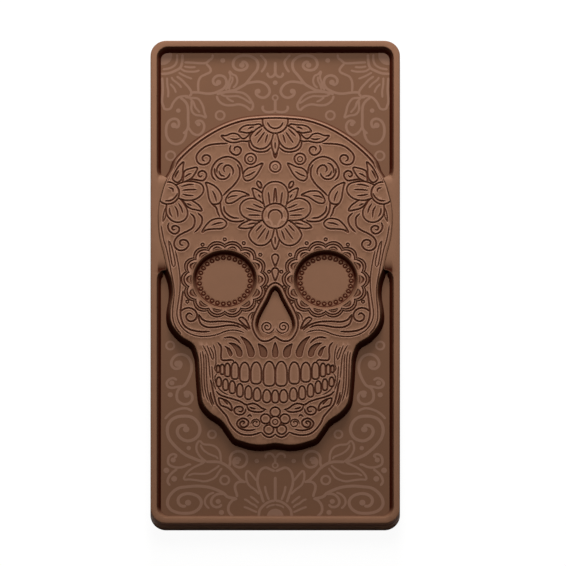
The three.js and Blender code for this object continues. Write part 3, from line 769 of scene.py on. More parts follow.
# Engraved lines that stay part of the skull's face, as readings along each
FACE_LINES = [
    # crown
    (-8.6, 44.9, -8.2, 43, -7, 41.9, -5, 41.4, -3, 41.7, -1.7, 42.8),
    (-1.1, 41.2, -0.35, 39.6, 0.4, 41.2),
    (-15, 44.1, -18, 44, -21, 43.5, -23, 42.3, -24.5, 40.5, -24.7, 39.3, -24.2, 38, -23.2, 37.4,
     -22, 37.4, -20.9, 38, -20.4, 38.9, -20.5, 39.8, -21.2, 40.4, -22.2, 40.3, -22.8, 39.6,
     -22.7, 38.8, -22, 38.5),
    (-14, 43.6, -14.4, 42, -13.5, 40.8, -12.3, 40.4, -11.3, 40.9, -10.9, 41.9, -11.3, 42.8,
     -12.3, 43.1, -13, 42.5, -12.8, 41.8),
    (-27.2, 32.4, -26, 32.7, -24, 32.4, -22.7, 32.3, -21.7, 33.3, -21.7, 34.6, -22.7, 35.4, -23.8, 35,
     -24.1, 34, -23.4, 33.5, -22.9, 34),
    (-10.5, 34.4, -10.6, 36, -11.2, 37.6, -12.3, 38.8, -13.7, 39.6, -15.2, 39.9, -16.8, 39.5,
     -18.3, 38.6, -19.4, 37.2, -20, 35.6, -20, 34.3, -19.6, 33.2, -18.7, 32.3),
    (-16.5, 27.4, -15, 29, -13.4, 30.5, -12.2, 32, -11.4, 33.6, -11.3, 35, -11.5, 36.3, -12.1, 37.4),
    (-19.1, 36.2, -19, 34.8, -18.5, 33.7, -17.6, 32.9, -16.5, 32.7, -15.4, 33, -14.6, 33.8, -14.3, 34.7),
    (-16.4, 37.9, -17.3, 37.6, -18, 36.8, -18.4, 35.7, -18.2, 34.6),
    (-17.7, 35.4, -17.5, 34.5, -16.9, 33.9, -15.9, 33.7),
    (-15.9, 35, -16.3, 35.7, -16, 36.7, -15.2, 37.2, -14.2, 36.9, -13.5, 36, -13.3, 35, -13.5, 34.1),
    (-5.9, 32.2, -6, 31.2, -5.4, 30.2, -4.7, 29.9, -4.6, 30.8, -5.1, 31.8, -5.9, 32.2),
    # stems below the big spiral
    (-17.3, 26, -17.2, 23.6, -16.8, 22, -15.8, 20.5, -14, 19.4, -12, 19.2, -10.5, 19.4, -9.9, 19.8),
    (-16.2, 24.2, -16, 22.6, -15, 21.4, -13.5, 20.5, -11.6, 20.3),
    (-20.2, 25, -18.6, 23.6, -18.1, 22, -17.4, 20.7),
    # temple
    (-33.1, 18.9, -33.5, 17.5, -32.8, 16, -31.3, 15.3, -30.1, 16.1, -30.1, 17.3, -31.2, 17.9,
     -32.2, 17.4, -31.9, 16.6, -31.2, 16.7),
    (-24.3, 22, -23, 20.5, -23.1, 18.5, -24, 17, -25.2, 15.8),
    (-26.5, 21.8, -25.4, 20.6, -25.2, 19, -25.6, 17.5, -27, 16.4, -29, 15.4, -30.5, 14.4, -31.4, 13,
     -31.5, 11.6, -30.7, 10.4, -29.2, 10, -27.8, 10.6, -27.1, 11.8, -27.6, 13, -28.8, 13.4,
     -29.8, 12.8, -29.5, 11.8, -28.7, 11.7),
    # cheek
    (-29.6, -9.6, -28.6, -8.7, -27, -8.3, -25.3, -9, -24.5, -10.5, -25, -12, -26.4, -12.6, -27.6, -12,
     -27.8, -10.8, -26.8, -10, -25.9, -10.6),
    (-28.8, -2.9, -29.1, -5.1, -29.4, -7.6, -29.6, -9.9, -29.3, -12, -28.4, -14, -26.4, -15.3,
     -23, -15.9, -20.5, -15.8),
    (-24, -10.3, -22.8, -12, -21, -12.7, -17, -12.6, -14, -12.8, -12, -13.3, -10.3, -14.2, -9, -15.4),
    (-24, -10.6, -23.9, -12, -23.2, -13.5, -21.5, -14.4, -19, -14.5, -15, -13.9, -12.5, -14, -11, -14.6),
    (-11.8, -11.8, -10.8, -11.3, -9.6, -12, -8.8, -13.4, -8.3, -15, -9.6, -14, -10.8, -12.9,
     -11.8, -11.8),
    # beside the gum
    (-16.2, -17.9, -14, -17.7, -12.3, -18.4, -11.1, -19.6),
    (-18.1, -19.3, -17.2, -20.5, -17, -22, -17.1, -24, -16.8, -24.9, -15, -25, -13.8, -24.9, -13, -25.5),
    # jaw
    (-20.4, -35.2, -20.2, -36.6, -19.8, -37.9, -19.3, -39.1),
    (-20.35, -31.2, -19.9, -33, -19.55, -35, -19.1, -37, -18.5, -39, -17.5, -40.3, -16.5, -41.5,
     -15.3, -43, -14.6, -44.7, -13.8, -46, -12.7, -47.3, -11, -48.5, -8.5, -48.9, -6.5, -48.6,
     -4.7, -47.9),
    (-17.9, -36.9, -17.7, -38.1, -17.2, -39.3, -16, -39.8, -15, -40.2, -13.8, -41.1, -13.8, -39.9,
     -14.4, -38.7, -15.5, -37.8, -16.7, -37.3, -17.9, -36.9),
    (-16.6, -37.4, -15.7, -38.3, -15, -39.1),
    # chin
    (-18.6, -34.8, -17.6, -35.9, -16, -36.6, -13, -37.5, -11, -38.2, -9.8, -39, -9.2, -39.2, -8, -38.9,
     -7, -38.8, -5.8, -39.3, -4.5, -40.3, -3, -40.8),
    (-9.2, -39.3, -8.5, -40.8, -7, -41.4, -5, -41.5, -3.6, -41),
    (-8.3, -39.9, -7.4, -40.3, -6.3, -40.5),
    (-11.7, -41.2, -10.8, -41.4, -10.3, -40.6, -10.8, -39.9, -11.8, -39.8, -12.8, -40.3, -13, -41.2,
     -12.5, -42, -11.4, -42.4, -10.2, -42.1, -9.6, -41.4, -9.4, -40.4),
    (-9, -43, -8.2, -42.4, -7.6, -43),
    (-10.4, -45.4, -9.8, -44.8, -10.4, -44.4, -11.2, -45, -11, -46, -10, -46.4, -8.9, -45.8,
     -8.6, -44.7, -9.2, -43.9, -10.3, -43.5, -11.6, -44.1, -12.2, -45.2, -11.8, -46.2, -10.6, -47,
     -8.5, -47.4, -6.4, -47),
    (-4.7, -47.9, -4.2, -48.4, -3.4, -49.2, -2.2, -49.6, -1.1, -49.2, -0.35, -48.5),
]
# Finer strands along the temple, the cheek and the jaw
FINE_LINES = [
    (-34.2, 23.7, -34.8, 21.7, -35.1, 19.2), (-34, 22.4, -34.2, 20.8, -34.9, 19.2),
    (-6.4, -45.1, -5.9, -44.7, -6.4, -44.4, -7.2, -44.9, -7.1, -45.7, -6, -46.2, -5.2, -45.5,
     -5.2, -44.6, -5.8, -43.9, -6.8, -43.9, -7.5, -44.4, -7.9, -45.4),
    (-35.6, 18, -35.2, 15.5, -34.7, 13, -34, 10.8, -33.6, 9, -33.2, 7, -32.8, 5, -32.5, 3.2, -32, 0.6,
     -31.6, -2.6, -31.7, -5.7, -32, -8.9, -31.9, -12.1, -30.9, -14.7, -29.4, -16.6),
    (-31.2, 10, -30.6, 7.3, -30.1, 4.5, -29.75, 1.5, -29.7, -1.3, -29.9, -3.8, -30.4, -7.3,
     -30.7, -10.5, -29.9, -13.3, -28.2, -15.5, -26, -16.8, -23.5, -17.4, -20.5, -17.3, -18, -16.7,
     -15.5, -15.7, -13, -15.4, -11, -15.8, -10, -16.2),
    (-33.3, 13.2, -33.1, 11.5, -32.85, 9.5, -32.55, 7.5, -32.2, 5.6, -31.7, 4.7),
    (-33, 13, -32.4, 11.4, -31.85, 9.2, -31.4, 7, -31.25, 5.5, -31.7, 4.7),
    (-23.55, -22.4, -23.3, -24.5, -23.15, -27, -23.05, -31, -22.8, -34.4, -22.3, -37),
    (-22.9, -22, -22.5, -24, -22.35, -27, -22.3, -31, -22.05, -34, -21.5, -36.6, -20.9, -38.2),
    (-21.95, -22.9, -21.7, -25, -21.6, -28, -21.5, -31.5, -21.25, -34.4, -20.8, -36.6, -20.3, -38.2,
     -19.6, -39.6),
    (-22.65, -20.3, -22, -21.5, -21.35, -22.9, -20.95, -24.7, -20.75, -26.8, -20.6, -28.9, -20.4, -30.8),
    (-21.4, -20.3, -20.9, -21.6, -20.4, -23, -19.95, -24.3, -19.6, -24.9),
    (-20.5, -20.8, -19.9, -21.9, -19.5, -23, -19.35, -24.2, -19.6, -24.9),
    (-19.9, -26.8, -19.75, -29, -19.6, -31, -19.2, -33, -18.6, -34.5),
    (-19.5, -20, -18.9, -22, -18.7, -24, -18.7, -26.2, -19.1, -27.6, -18.8, -28.5),
    (-6.8, -9.5, -7.9, -10.1, -8.6, -11.2, -8.7, -12.4), (-7, -9.7, -7.6, -10.9, -7.9, -12),
    (-18.3, -29.2, -18.9, -30.2, -18.9, -31.5, -18.3, -33, -17.5, -34.3, -16.2, -35.4, -14.9, -36),
]
# Sunk drops in the gum
GUM_DROPS = [
    (-5.7, -19.6, -4.4, -20, -3.2, -21, -2.7, -22.6, -3.1, -24, -4.2, -24.1, -5, -23.5, -5.3, -21.8),
    (-11.3, -17.2, -9, -18.3, -7.3, -20.5, -6.6, -22.6, -7.2, -24, -8.5, -23.9, -9.1, -22, -9.7, -20,
     -10.6, -18.4),
    (-15, -19.4, -13, -19.5, -11.3, -20.6, -10.4, -22.5, -10.8, -23.9, -12.1, -23.7, -12.7, -22,
     -13.8, -20.4),
    (-16.2, -20.4, -14.8, -20.8, -13.8, -22, -13.5, -23.3, -14.3, -23.9, -15, -22.7, -15.4, -21.4),
]
GUM_MIDDLE = drawn(-0.35, -19, -1.1, -20.8, -1.4, -22.6, -1.1, -23.9, -0.35, -24.2, 0.4, -23.9, 0.7, -22.6,
                   0.4, -20.8)
# Rings: x, y, radius of the line
FACE_RINGS = [(-7.65, 39.2, 1.75), (-7.65, 39.1, 0.8)]
MIDDLE_RINGS = [(0, 36.7, 1.7), (0, 36.6, 0.75)]
# Angles of the dots round the left eye, how far out of the crests they sit, and their radius
EYE_DOTS = (119.5, 90, 65, 38, 11, -12, -37, -146)
DOT_OUT, DOT_OUT_BESIDE_NOSE = 0.55, -0.2
DOT_RADIUS = 0.45


def skull_outline():
    """The skull's outline, both halves, with the half's ends brought onto the middle line."""
    return anticlockwise(smooth(both_halves(np.minimum(SKULL_HALF, (0, 99))), True, 0.3))


def nose_outline():
    """The nose opening, both halves."""
    return anticlockwise(smooth(both_halves(NOSE_HALF), True, ROUND_SPACING))


def scallop_turns(count):
    """Round the left eye, for each point: the turn in scallops, the angle and the way in from the crests.

    A valley lies straight above the eye's centre.
    """
    turn = np.arange(count * SCALLOP_STEPS) / SCALLOP_STEPS
    angle = math.pi / 2 + turn / count * 2 * math.pi
    return turn, angle, SCALLOP_RISE * (1 - np.sin(np.pi * (turn % 1)) ** 0.75)


def scalloped(radius_x, radius_y, count):
    """A scalloped outline round the left eye."""
    _, angle, less = scallop_turns(count)
    return np.column_stack([EYE[0] + (radius_x - less) * np.cos(angle),
                            EYE[1] + (radius_y - less) * np.sin(angle)])


def pair(shapes):
    """The shapes and their mirror images."""
    return [*shapes, *[mirrored(s) for s in shapes]]


def ornament_cuts(shapes, veins, width):
    """Lines inside an ornament: the outline of each shape over those behind it, and its veins."""
    cuts = []
    for shape in shapes[1:]:
        cuts += [Cover(shape), Line(shape, width, VEIN_DEPTH, closed=True)]
    return cuts + [vein(v, width * 0.95) for v in veins]


def vein(path, width):
    """A vein: a straight or curved line, or a closed one where the path is a ring."""
    if len(path) > 10 and math.dist(path[0], path[-1]) < 0.5:
        return Line(path, width * 0.8, 0.6, closed=True)
    return Line(even(path) if len(path) == 2 else smooth(path), width, VEIN_DEPTH)


def closed_shapes(shapes):
    """Smooth closed outlines through the readings."""
    return [anticlockwise(smooth(s, True)) for s in shapes]


# Nodes and materials

def node_group(name, kind, inputs, outputs):
    """A new group with named sockets, as its tree, the values that come in and the node that hands out."""
    tree = bpy.data.node_groups.new(name, kind)
    for label, holds, default in inputs:
        socket = tree.interface.new_socket(label, in_out="INPUT", socket_type="NodeSocket" + holds)
        if default is not None:
            socket.default_value = default
    for label, holds in outputs:
        tree.interface.new_socket(label, in_out="OUTPUT", socket_type="NodeSocket" + holds)
    return tree, tree.nodes.new("NodeGroupInput").outputs, tree.nodes.new("NodeGroupOutput")


def fill(tree, node, inputs):
    """Gives each input of a node its value, or a link from another node's output."""
    for place, value in inputs.items():
        if isinstance(value, bpy.types.NodeSocket):
            tree.links.new(value, node.inputs[place])
        else:
            node.inputs[place].default_value = value
    return node


def add_node(tree, kind, inputs=None, **settings):
    """A new node with its settings and its inputs."""
    node = tree.nodes.new(kind)
    for name, value in settings.items():
        setattr(node, name, value)
    return fill(tree, node, inputs or {})


def maths(tree, operation, *values, clamp=False):
    """The result of one Math node."""
    node = add_node(tree, "ShaderNodeMath", dict(enumerate(values)), operation=operation, use_clamp=clamp)
    return node.outputs[0]


def combined(tree, x, y, z):
    """A vector from its three parts."""
    return add_node(tree, "ShaderNodeCombineXYZ", {"X": x, "Y": y, "Z": z}).outputs[0]


def mixed_colour(tree, share, first, second):
    """The first colour with a share of the second. A Mix node keeps its colours on sockets 6, 7 and 2."""
    inputs = {"Factor": share, 6: first, 7: second}
    return add_node(tree, "ShaderNodeMix", inputs, data_type="RGBA").outputs[2]


def brown_tone_group():
    """Slow and fine variation of a moulded brown: tint, gloss and a faint grain."""
    known = bpy.data.node_groups.get("brown_tone")
    if known:
        return known
    tree, entry, leave = node_group(
        "brown_tone", "ShaderNodeTree",
        [("Colour", "Color", (0.3, 0.16, 0.1, 1)), ("Bloom", "Float", 0.08), ("Grain size", "Float", 900.0),
         ("Gloss spread", "Float", 0.08), ("Roughness", "Float", 0.42)],
        [("Colour", "Color"), ("Roughness", "Float"), ("Height", "Float")])
    where = add_node(tree, "ShaderNodeTexCoord").outputs["Object"]

    def noise(scale, detail):
        inputs = {"Vector": where, "Scale": scale, "Detail": detail}
        return add_node(tree, "ShaderNodeTexNoise", inputs).outputs["Fac"]

    cloud, mottle, grain = noise(38.0, 2.0), noise(260.0, 3.0), noise(entry["Grain size"], 2.0)
    centred = maths(tree, "SUBTRACT", maths(tree, "ADD", cloud, mottle), 1.0)
    spread = maths(tree, "MULTIPLY_ADD", centred, entry["Bloom"], 1.0)
    tint = add_node(tree, "ShaderNodeVectorMath", {0: entry["Colour"], "Scale": spread}, operation="SCALE")
    rough = maths(tree, "MULTIPLY_ADD", centred, entry["Gloss spread"], entry["Roughness"])
    fill(tree, leave, {"Colour": tint.outputs[0], "Roughness": rough, "Height": grain})
    return tree


def painted_shade_group():
    """Paints shade into a colour towards the bottom of the engraved lines and paints a highlight on their
    raised edges.
    """
    known = bpy.data.node_groups.get("painted_line_shade")
    if known:
        return known
    tree, entry, leave = node_group(
        "painted_line_shade", "ShaderNodeTree",
        [("Colour", "Color", (0.3, 0.16, 0.1, 1)), ("Line colour", "Color", (0.05, 0.02, 0.01, 1)),
         ("Edge colour", "Color", (0.4, 0.22, 0.15, 1)), ("Strength", "Float", 0.85)],
        [("Colour", "Color"), ("Mask", "Float")])
    # the engraved attribute holds painted shade above 0 and painted highlight below 0
    mark = add_node(tree, "ShaderNodeAttribute", attribute_name="engraved").outputs["Fac"]
    strength = maths(tree, "MULTIPLY", mark, entry["Strength"], clamp=True)
    pale = maths(tree, "MULTIPLY", mark, -1.0, clamp=True)
    lighter = mixed_colour(tree, pale, entry["Colour"], entry["Edge colour"])
    darker = mixed_colour(tree, strength, lighter, entry["Line colour"])
    fill(tree, leave, {"Colour": darker, "Mask": strength})
    return tree


def brown(name, colour, line_colour, edge_colour, roughness, lines=1.0):
    """A satin moulded brown with painted shade in its engraved lines, as strong as lines says, and painted
    highlights beside them.
    """
    known = bpy.data.materials.get(name)
    if known:
        return known
    material = bpy.data.materials.new(name)
    material.use_nodes = True
    tree = material.node_tree
    tone = add_node(tree, "ShaderNodeGroup", {"Colour": colour, "Bloom": 0.16, "Roughness": roughness},
                    node_tree=brown_tone_group()).outputs
    cut = add_node(tree, "ShaderNodeGroup", {
        "Colour": tone["Colour"], "Line colour": line_colour, "Edge colour": edge_colour, "Strength": lines},
        node_tree=painted_shade_group()).outputs
    bump = add_node(tree, "ShaderNodeBump", {"Strength": 0.35, "Distance": 0.00001, "Height": tone["Height"]})
    fill(tree, tree.nodes["Principled BSDF"], {
        "Base Color": cut["Colour"],
        "Roughness": maths(tree, "MULTIPLY_ADD", cut["Mask"], 0.25, tone["Roughness"]),
        "Normal": bump.outputs["Normal"], "IOR": 1.46, "Specular IOR Level": 0.2,
        "Specular Tint": (1.0, 0.6, 0.42, 1)})
    return material


def relief_material(context):
    """The rim and the skull."""
    colours = context.scene.tablet_colours
    return brown("relief_satin_brown", colours.relief, colours.painted_shade_brown, colours.edge, 0.42)


def field_material(context):
    """The slab with its field and sides."""
    colours = context.scene.tablet_colours
    return brown("field_satin_brown", colours.field, colours.painted_shade_brown, colours.edge, 0.4)


def pattern_material(context):
    """The raised lines on the field."""
    colours = context.scene.tablet_colours
    return brown("pattern_matt_brown", colours.pattern, colours.painted_shade_brown, colours.pattern, 0.5, lines=0.0)


# Geometry node trees

def painted(tree, geometry, entry, leave):
    """Ends a tree by giving its geometry the material that the tree was given."""
    paint = add_node(tree, "GeometryNodeSetMaterial", {"Geometry": geometry, "Material": entry["Material"]})
    tree.links.new(paint.outputs[0], leave.inputs[0])
    return tree


def bead_ring_tree():
    """Adds a ring of domed beads on an ellipse to the incoming mesh."""
    tree, entry, leave = node_group(
        "bead_ring", "GeometryNodeTree",
        [("Geometry", "Geometry", None), ("Count", "Int", 27), ("Radius X", "Float", 0.0078),
         ("Radius Y", "Float", 0.0073), ("Centre X", "Float", 0.0), ("Centre Y", "Float", 0.0),
         ("Floor", "Float", 0.0072), ("Bead radius", "Float", 0.00062), ("Dome", "Float", 0.7),
         ("Material", "Material", None)],
        [("Geometry", "Geometry")])
    ring = add_node(tree, "GeometryNodeMeshCircle", {"Vertices": entry["Count"], "Radius": 1.0})
    places = add_node(tree, "GeometryNodeTransform", {
        "Geometry": ring.outputs["Mesh"], "Scale": combined(tree, entry["Radius X"], entry["Radius Y"], 1.0),
        "Translation": combined(tree, entry["Centre X"], entry["Centre Y"], entry["Floor"])})
    ball = add_node(tree, "GeometryNodeMeshUVSphere", {
        "Segments": 14, "Rings": 8, "Radius": entry["Bead radius"]})
    dome = add_node(tree, "GeometryNodeTransform", {
        "Geometry": ball.outputs["Mesh"], "Scale": combined(tree, 1.0, 1.0, entry["Dome"])})
    beads = add_node(tree, "GeometryNodeInstanceOnPoints", {
        "Points": places.outputs[0], "Instance": dome.outputs[0]})
    soft = add_node(tree, "GeometryNodeSetShadeSmooth", {0: beads.outputs[0]})
    joined = add_node(tree, "GeometryNodeJoinGeometry", {0: soft.outputs[0]})
    tree.links.new(entry["Geometry"], joined.inputs[0])
    real = add_node(tree, "GeometryNodeRealizeInstances", {0: joined.outputs[0]})
    return painted(tree, real.outputs[0], entry, leave)


def raised_line_tree():
    """Turns drawn paths into low raised ribbons and lone points into low round studs, all of one height."""
    tree, entry, leave = node_group(
        "raised_lines", "GeometryNodeTree",
        [("Geometry", "Geometry", None), ("Width scale", "Float", 1.0), ("Level", "Float", 0.006),
         ("Height", "Float", 0.00007), ("Material", "Material", None)],
        [("Geometry", "Geometry")])

    def stored(name):
        node = add_node(tree, "GeometryNodeInputNamedAttribute", {"Name": name}, data_type="FLOAT")
        return node.outputs["Attribute"]

    curves = add_node(tree, "GeometryNodeMeshToCurve", {"Mesh": entry["Geometry"]})
    upright = add_node(tree, "GeometryNodeSetCurveNormal", {"Curve": curves.outputs[0]}, mode="Z_UP")
    section = add_node(tree, "GeometryNodeCurvePrimitiveQuadrilateral", {
        "Bottom Width": 2.0, "Top Width": 1.9, "Height": 0.4, "Offset": 0.0}, mode="TRAPEZOID")
    ribbon = add_node(tree, "GeometryNodeCurveToMesh", {
        "Curve": upright.outputs[0], "Profile Curve": section.outputs[0], "Fill Caps": True,
        "Scale": maths(tree, "MULTIPLY", stored("half_width"), entry["Width scale"])})

    radius = stored("stud_radius")
    spots = add_node(tree, "GeometryNodeMeshToPoints", {
        "Mesh": entry["Geometry"], "Selection": maths(tree, "GREATER_THAN", radius, 0.0)})
    disc = add_node(tree, "GeometryNodeMeshCylinder", {"Vertices": 28, "Radius": 1.0, "Depth": 0.0002})
    studs = add_node(tree, "GeometryNodeInstanceOnPoints", {
        "Points": spots.outputs[0], "Instance": disc.outputs["Mesh"],
        "Scale": combined(tree, radius, radius, 1.0)})

    both = add_node(tree, "GeometryNodeJoinGeometry", {0: studs.outputs[0]})
    tree.links.new(ribbon.outputs[0], both.inputs[0])
    real = add_node(tree, "GeometryNodeRealizeInstances", {0: both.outputs[0]})
    crisp = add_node(tree, "GeometryNodeSetShadeSmooth", {0: real.outputs[0], "Shade Smooth": False})

    # what is above the field comes to the pattern's height, and what is below it sinks a little
    sunk = 0.00005
    place = add_node(tree, "GeometryNodeInputPosition").outputs[0]
    x, y, z = add_node(tree, "ShaderNodeSeparateXYZ", {0: place}).outputs
    above = maths(tree, "GREATER_THAN", z, entry["Level"])
    upper = maths(tree, "ADD", entry["Height"], stored("lift"))
    rise = maths(tree, "ADD", maths(tree, "MULTIPLY", above, maths(tree, "ADD", upper, sunk)), -sunk)
    raised = combined(tree, x, y, maths(tree, "ADD", entry["Level"], rise))
    levelled = add_node(tree, "GeometryNodeSetPosition", {"Geometry": crisp.outputs[0], "Position": raised})
    return painted(tree, levelled.outputs[0], entry, leave)


def set_inputs(modifier, values):
    """Sets a modifier's inputs by their socket identifiers."""
    for item in modifier.node_group.interface.items_tree:
        if item.item_type == "SOCKET" and item.in_out == "INPUT" and item.name in values:
            modifier[item.identifier] = values[item.name]


def applied(piece):
    """Turns a piece's modifiers into a plain mesh."""
    graph = bpy.context.evaluated_depsgraph_get()
    mesh = bpy.data.meshes.new_from_object(piece.evaluated_get(graph))
    piece.modifiers.clear()
    old, piece.data = piece.data, mesh
    bpy.data.meshes.remove(old)
    return piece


# Pieces

LENGTHS = ("width", "length", "face_height", "field_height", "corner_radius", "rim_width", "wall_lean",
           "edge_round", "line_width", "line_depth", "socket_depth", "bead_radius")


def millimetres(context):
    """The user's sizes in millimetres, with the heights of the pockets' and the sockets' floors."""
    sizes = context.scene.tablet_sizes
    at = SimpleNamespace(scallops=sizes.scallops, beads=sizes.beads)
    for name in LENGTHS:
        setattr(at, name, getattr(sizes, name) / MM)
    at.pocket_floor = at.face_height - at.line_depth
    at.socket_floor = at.face_height - at.socket_depth
    return at


def make_island(context, node, shapes, cuts, window):
    """A relief piece that stands in its own shallow pocket in the skull's face."""
    at = millimetres(context)
    top = at.face_height
    outers = [grown(s, -at.line_width / 2) for s in shapes]
    if window is not None:
        outers = kept_inside(outers, window)
    edges = [o - normals(o) * inset for o in map(anticlockwise, outers) for inset in (0.12, 0.3)]
    spots = np.vstack([c.rows() for c in cuts] + edges + [filler(outers, 1.2)])

    # the mark: painted shade in the lines, painted highlight on the ridges beside them and along the piece's
    # edge
    def height(flat):
        deep, dark = cut_depth(flat, cuts, at.line_depth)
        edge = ridge_beside(np.min([away_from(flat, o) for o in outers], 0))
        clear = deep < 0.01
        return (top - np.where(clear, np.minimum(deep, -edge), deep),
                np.where(clear & (dark < 0.02), np.minimum(dark, -edge / RIDGE_HEIGHT), dark))

    def walls(ring, upper):
        # painted shade grows down the rounded edge and is full at the wall's foot
        edge_round, foot = 0.2, 0.23
        edge = [(o, top + d, 0.22 * k) for k, (o, d) in enumerate(rounded(edge_round, steps=3))]
        return edge + [(foot, at.pocket_floor - INLAY_SINK, 1.0)]

    piece = relief(node + "_visual", outers, [], spots, height, walls, "relief_brown",
                   relief_material(context))
    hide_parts(node)


def clipped(outline, window):
    """The part of an outline inside a window outline, by moving what is outside onto the window's edge."""
    step = 0.12
    fine = even(outline, step, True)
    within = inside(fine, window)
    if within.all():
        return outline
    if not within.any():
        return outline[:0]
    loop = even(window, step, True)
    moved = fine.copy()
    for i in np.flatnonzero(~within):
        moved[i] = loop[np.argmin(((loop - fine[i]) ** 2).sum(1))]
    keep = np.r_[True, np.hypot(*np.diff(moved, axis=0).T) > 0.02]
    return even(moved[keep], SPACING, True)


def kept_inside(outlines, window):
    """The outlines cut off at a window outline, without those that lie outside it."""
    return [o for o in (clipped(o, window) for o in outlines) if len(o) > 5]


def face_window():
    """The ornaments end at a line that runs inside the skull's edge."""
    return grown(skull_outline(), -0.25)


def ornament_parts():
    """Every inlaid ornament, left half and middle: its shapes, its veins and whether the edge cuts it."""
    crown = closed_shapes([CROWN[0], *pair(CROWN[1:])]) + [circle(*CROWN_DISC)]
    forehead = closed_shapes([FOREHEAD_LEAF, *pair(FOREHEAD), both_halves(FOREHEAD_TOP)])
    forehead.append(circle(*FOREHEAD_DISC))
    temple = closed_shapes(TEMPLE) + [circle(*TEMPLE_DISC)]
    chin = [circle(*c) for c in CHIN_DISCS]
    crown_veins = pair(CROWN_VEINS[:-1]) + [CROWN_VEINS[-1], arc(0, 51.3, 2.4, 190, 350)]
    forehead_veins = pair(FOREHEAD_VEINS) + [points(-0.12, 29.9, -0.5, 25.4), points(0.12, 29.9, 0.5, 25.4)]
    forehead_veins += [points(0, 14.4, 0, 12), arc(0, 20.9, 2.1, -22, 202)]
    lower = [tooth(*t, LOWER_BLUNT) for t in LOWER_TEETH]
    return {
        "crown_flower": (crown, crown_veins, True),
        "forehead_flower": (forehead, forehead_veins, False),
        "temple_flower": (temple, TEMPLE_VEINS, True),
        "brow_leaf": (closed_shapes([BROW_LEAF]), [BROW_VEIN], False),
        "stem_leaf_inner": (closed_shapes([STEM_INNER]), [STEM_INNER_VEIN], False),
        "stem_leaf_upper": (closed_shapes([STEM_UPPER]), [STEM_UPPER_VEIN], False),
        "stem_leaf_lower": (closed_shapes([STEM_LOWER]), [STEM_LOWER_VEIN], False),
        "brow_drop_upper": ([hung_drop(8.8, 4.9, 1.02)], [], False),
        "brow_drop_lower": ([hung_drop(4.4, 0.3, 1.02)], [], False),
        "chin_flower": (chin, [circle(*CHIN_RING)], False),
        "upper_teeth": (pair([tooth(*t) for t in UPPER_TEETH]), [], False),
        "lower_teeth": ([tooth(*LOWER_MIDDLE, LOWER_BLUNT), *pair(lower)], [], False),
    }


# Ornaments that stand on both sides of the face
PAIRED = ("temple_flower", "brow_leaf", "stem_leaf_inner", "stem_leaf_upper", "stem_leaf_lower")


def face_cuts(width):
    """Everything engraved in the skull's face outside the ornaments, both halves."""
    half = [Line(smooth(drawn(*p)), width) for p in FACE_LINES]
    half += [Line(smooth(drawn(*p)), width * STRAND_SHARE, STRAND_DEPTH) for p in FINE_LINES]
    half += [Line(circle(*r), width * (1 if r[2] > 1 else 0.7), 0.75, closed=True) for r in FACE_RINGS]
    half += [Pocket(smooth(drawn(*p), True)) for p in GUM_DROPS]
    for turn in EYE_DOTS:
        # beside the nose the dots sit down in the valleys between two scallops
        out = DOT_OUT_BESIDE_NOSE if -45 < turn < 0 else DOT_OUT
        angle = math.radians(turn)
        x, y = EYE[0] + (CREST[0] + out) * math.cos(angle), EYE[1] + (CREST[1] + out) * math.sin(angle)
        half.append(Line(circle(x, y, DOT_RADIUS, count=14), 0.5, closed=True))
    cuts = half + [c.mirror() for c in half]
    cuts += [Line(circle(*r), width * (1 if r[2] > 1 else 0.5), 0.625, closed=True) for r in MIDDLE_RINGS]
    cuts.append(Pocket(smooth(GUM_MIDDLE, True)))
    cuts.append(Line(grown(nose_outline(), NOSE_LINE_OUT), width, closed=True))
    cuts.append(Line(border_groove(), width * 1.15, 1.05))
    return cuts


class TABLET_OT_slab(bpy.types.Operator):
    """Makes the tablet's slab with its flat field and rounded lower edge"""
    bl_idname = "tablet.slab"
    bl_label = "Slab"

    def execute(self, context):
        at = millimetres(context)
        outline = rounded_rectangle(at.width, at.length, at.corner_radius)
        base_round, side_rows = 0.6, (4.4, 2.4)

        def walls(ring, upper):
            low = [(-base_round * (1 - math.cos(a)), base_round * (1 - math.sin(a)), 0.0)
                   for a in np.radians(np.linspace(0, 90, 6))]
            return [(0.0, z, 0.0) for z in side_rows] + low

        def height(flat):
            return np.full(len(flat), at.field_height), np.zeros(len(flat))

        piece = relief("tablet_slab_visual", [outline], [], filler([outline], 6), height, walls,
                       "field_brown", field_material(context))
        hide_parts("tablet_slab")
        return {"FINISHED"}


def rim_opening(at):
    """Inner lip of the rim, with its two webs beside the skull."""
    lip = at.rim_width - at.width / 2
    half_length = at.length / 2 - at.rim_width
    radius = at.corner_radius - at.rim_width + at.wall_lean / 2

    def corner(middle_y, start):
        turn = np.radians(np.linspace(start, start + 90, 9))
        return np.column_stack([lip + radius + radius * np.cos(turn), middle_y + radius * np.sin(turn)])

    # the web's upper end, its side along the skull, and its lower end
    upper = points(lip, 60, lip, 48, lip, 40, lip, 36.5, lip + 0.1, 35, lip + 0.45, 34.1, lip + 1.0, 33.9,
                   lip + 1.6, 34.1)
    lower = points(lip + 2.9, 3.9, lip + 2.2, 3.9, lip + 1.3, 3.6, lip + 0.5, 2.8, lip + 0.1, 1.6, lip, 0,
                   lip, -8, lip, -30, lip, -60)
    skull = grown(skull_outline(), 0.03, 0.3)
    side = skull[(skull[:, 0] < 0) & (skull[:, 1] < 33.4) & (skull[:, 1] > 4.6)]
    side = side[np.argsort(-side[:, 1])]
    side = side[side[:, 0] > lip + 0.02]
    side = side[np.argmin(np.hypot(*(side - upper[-1]).T)):]
    side = side[:np.argmin(np.hypot(*(side - lower[0]).T)) + 1]
    half = np.vstack([points(0, half_length), corner(half_length - radius, 90), upper, side, lower,
                      corner(radius - half_length, 180), points(0, -half_length)])
    return anticlockwise(even(both_halves(half), 0.35, True))


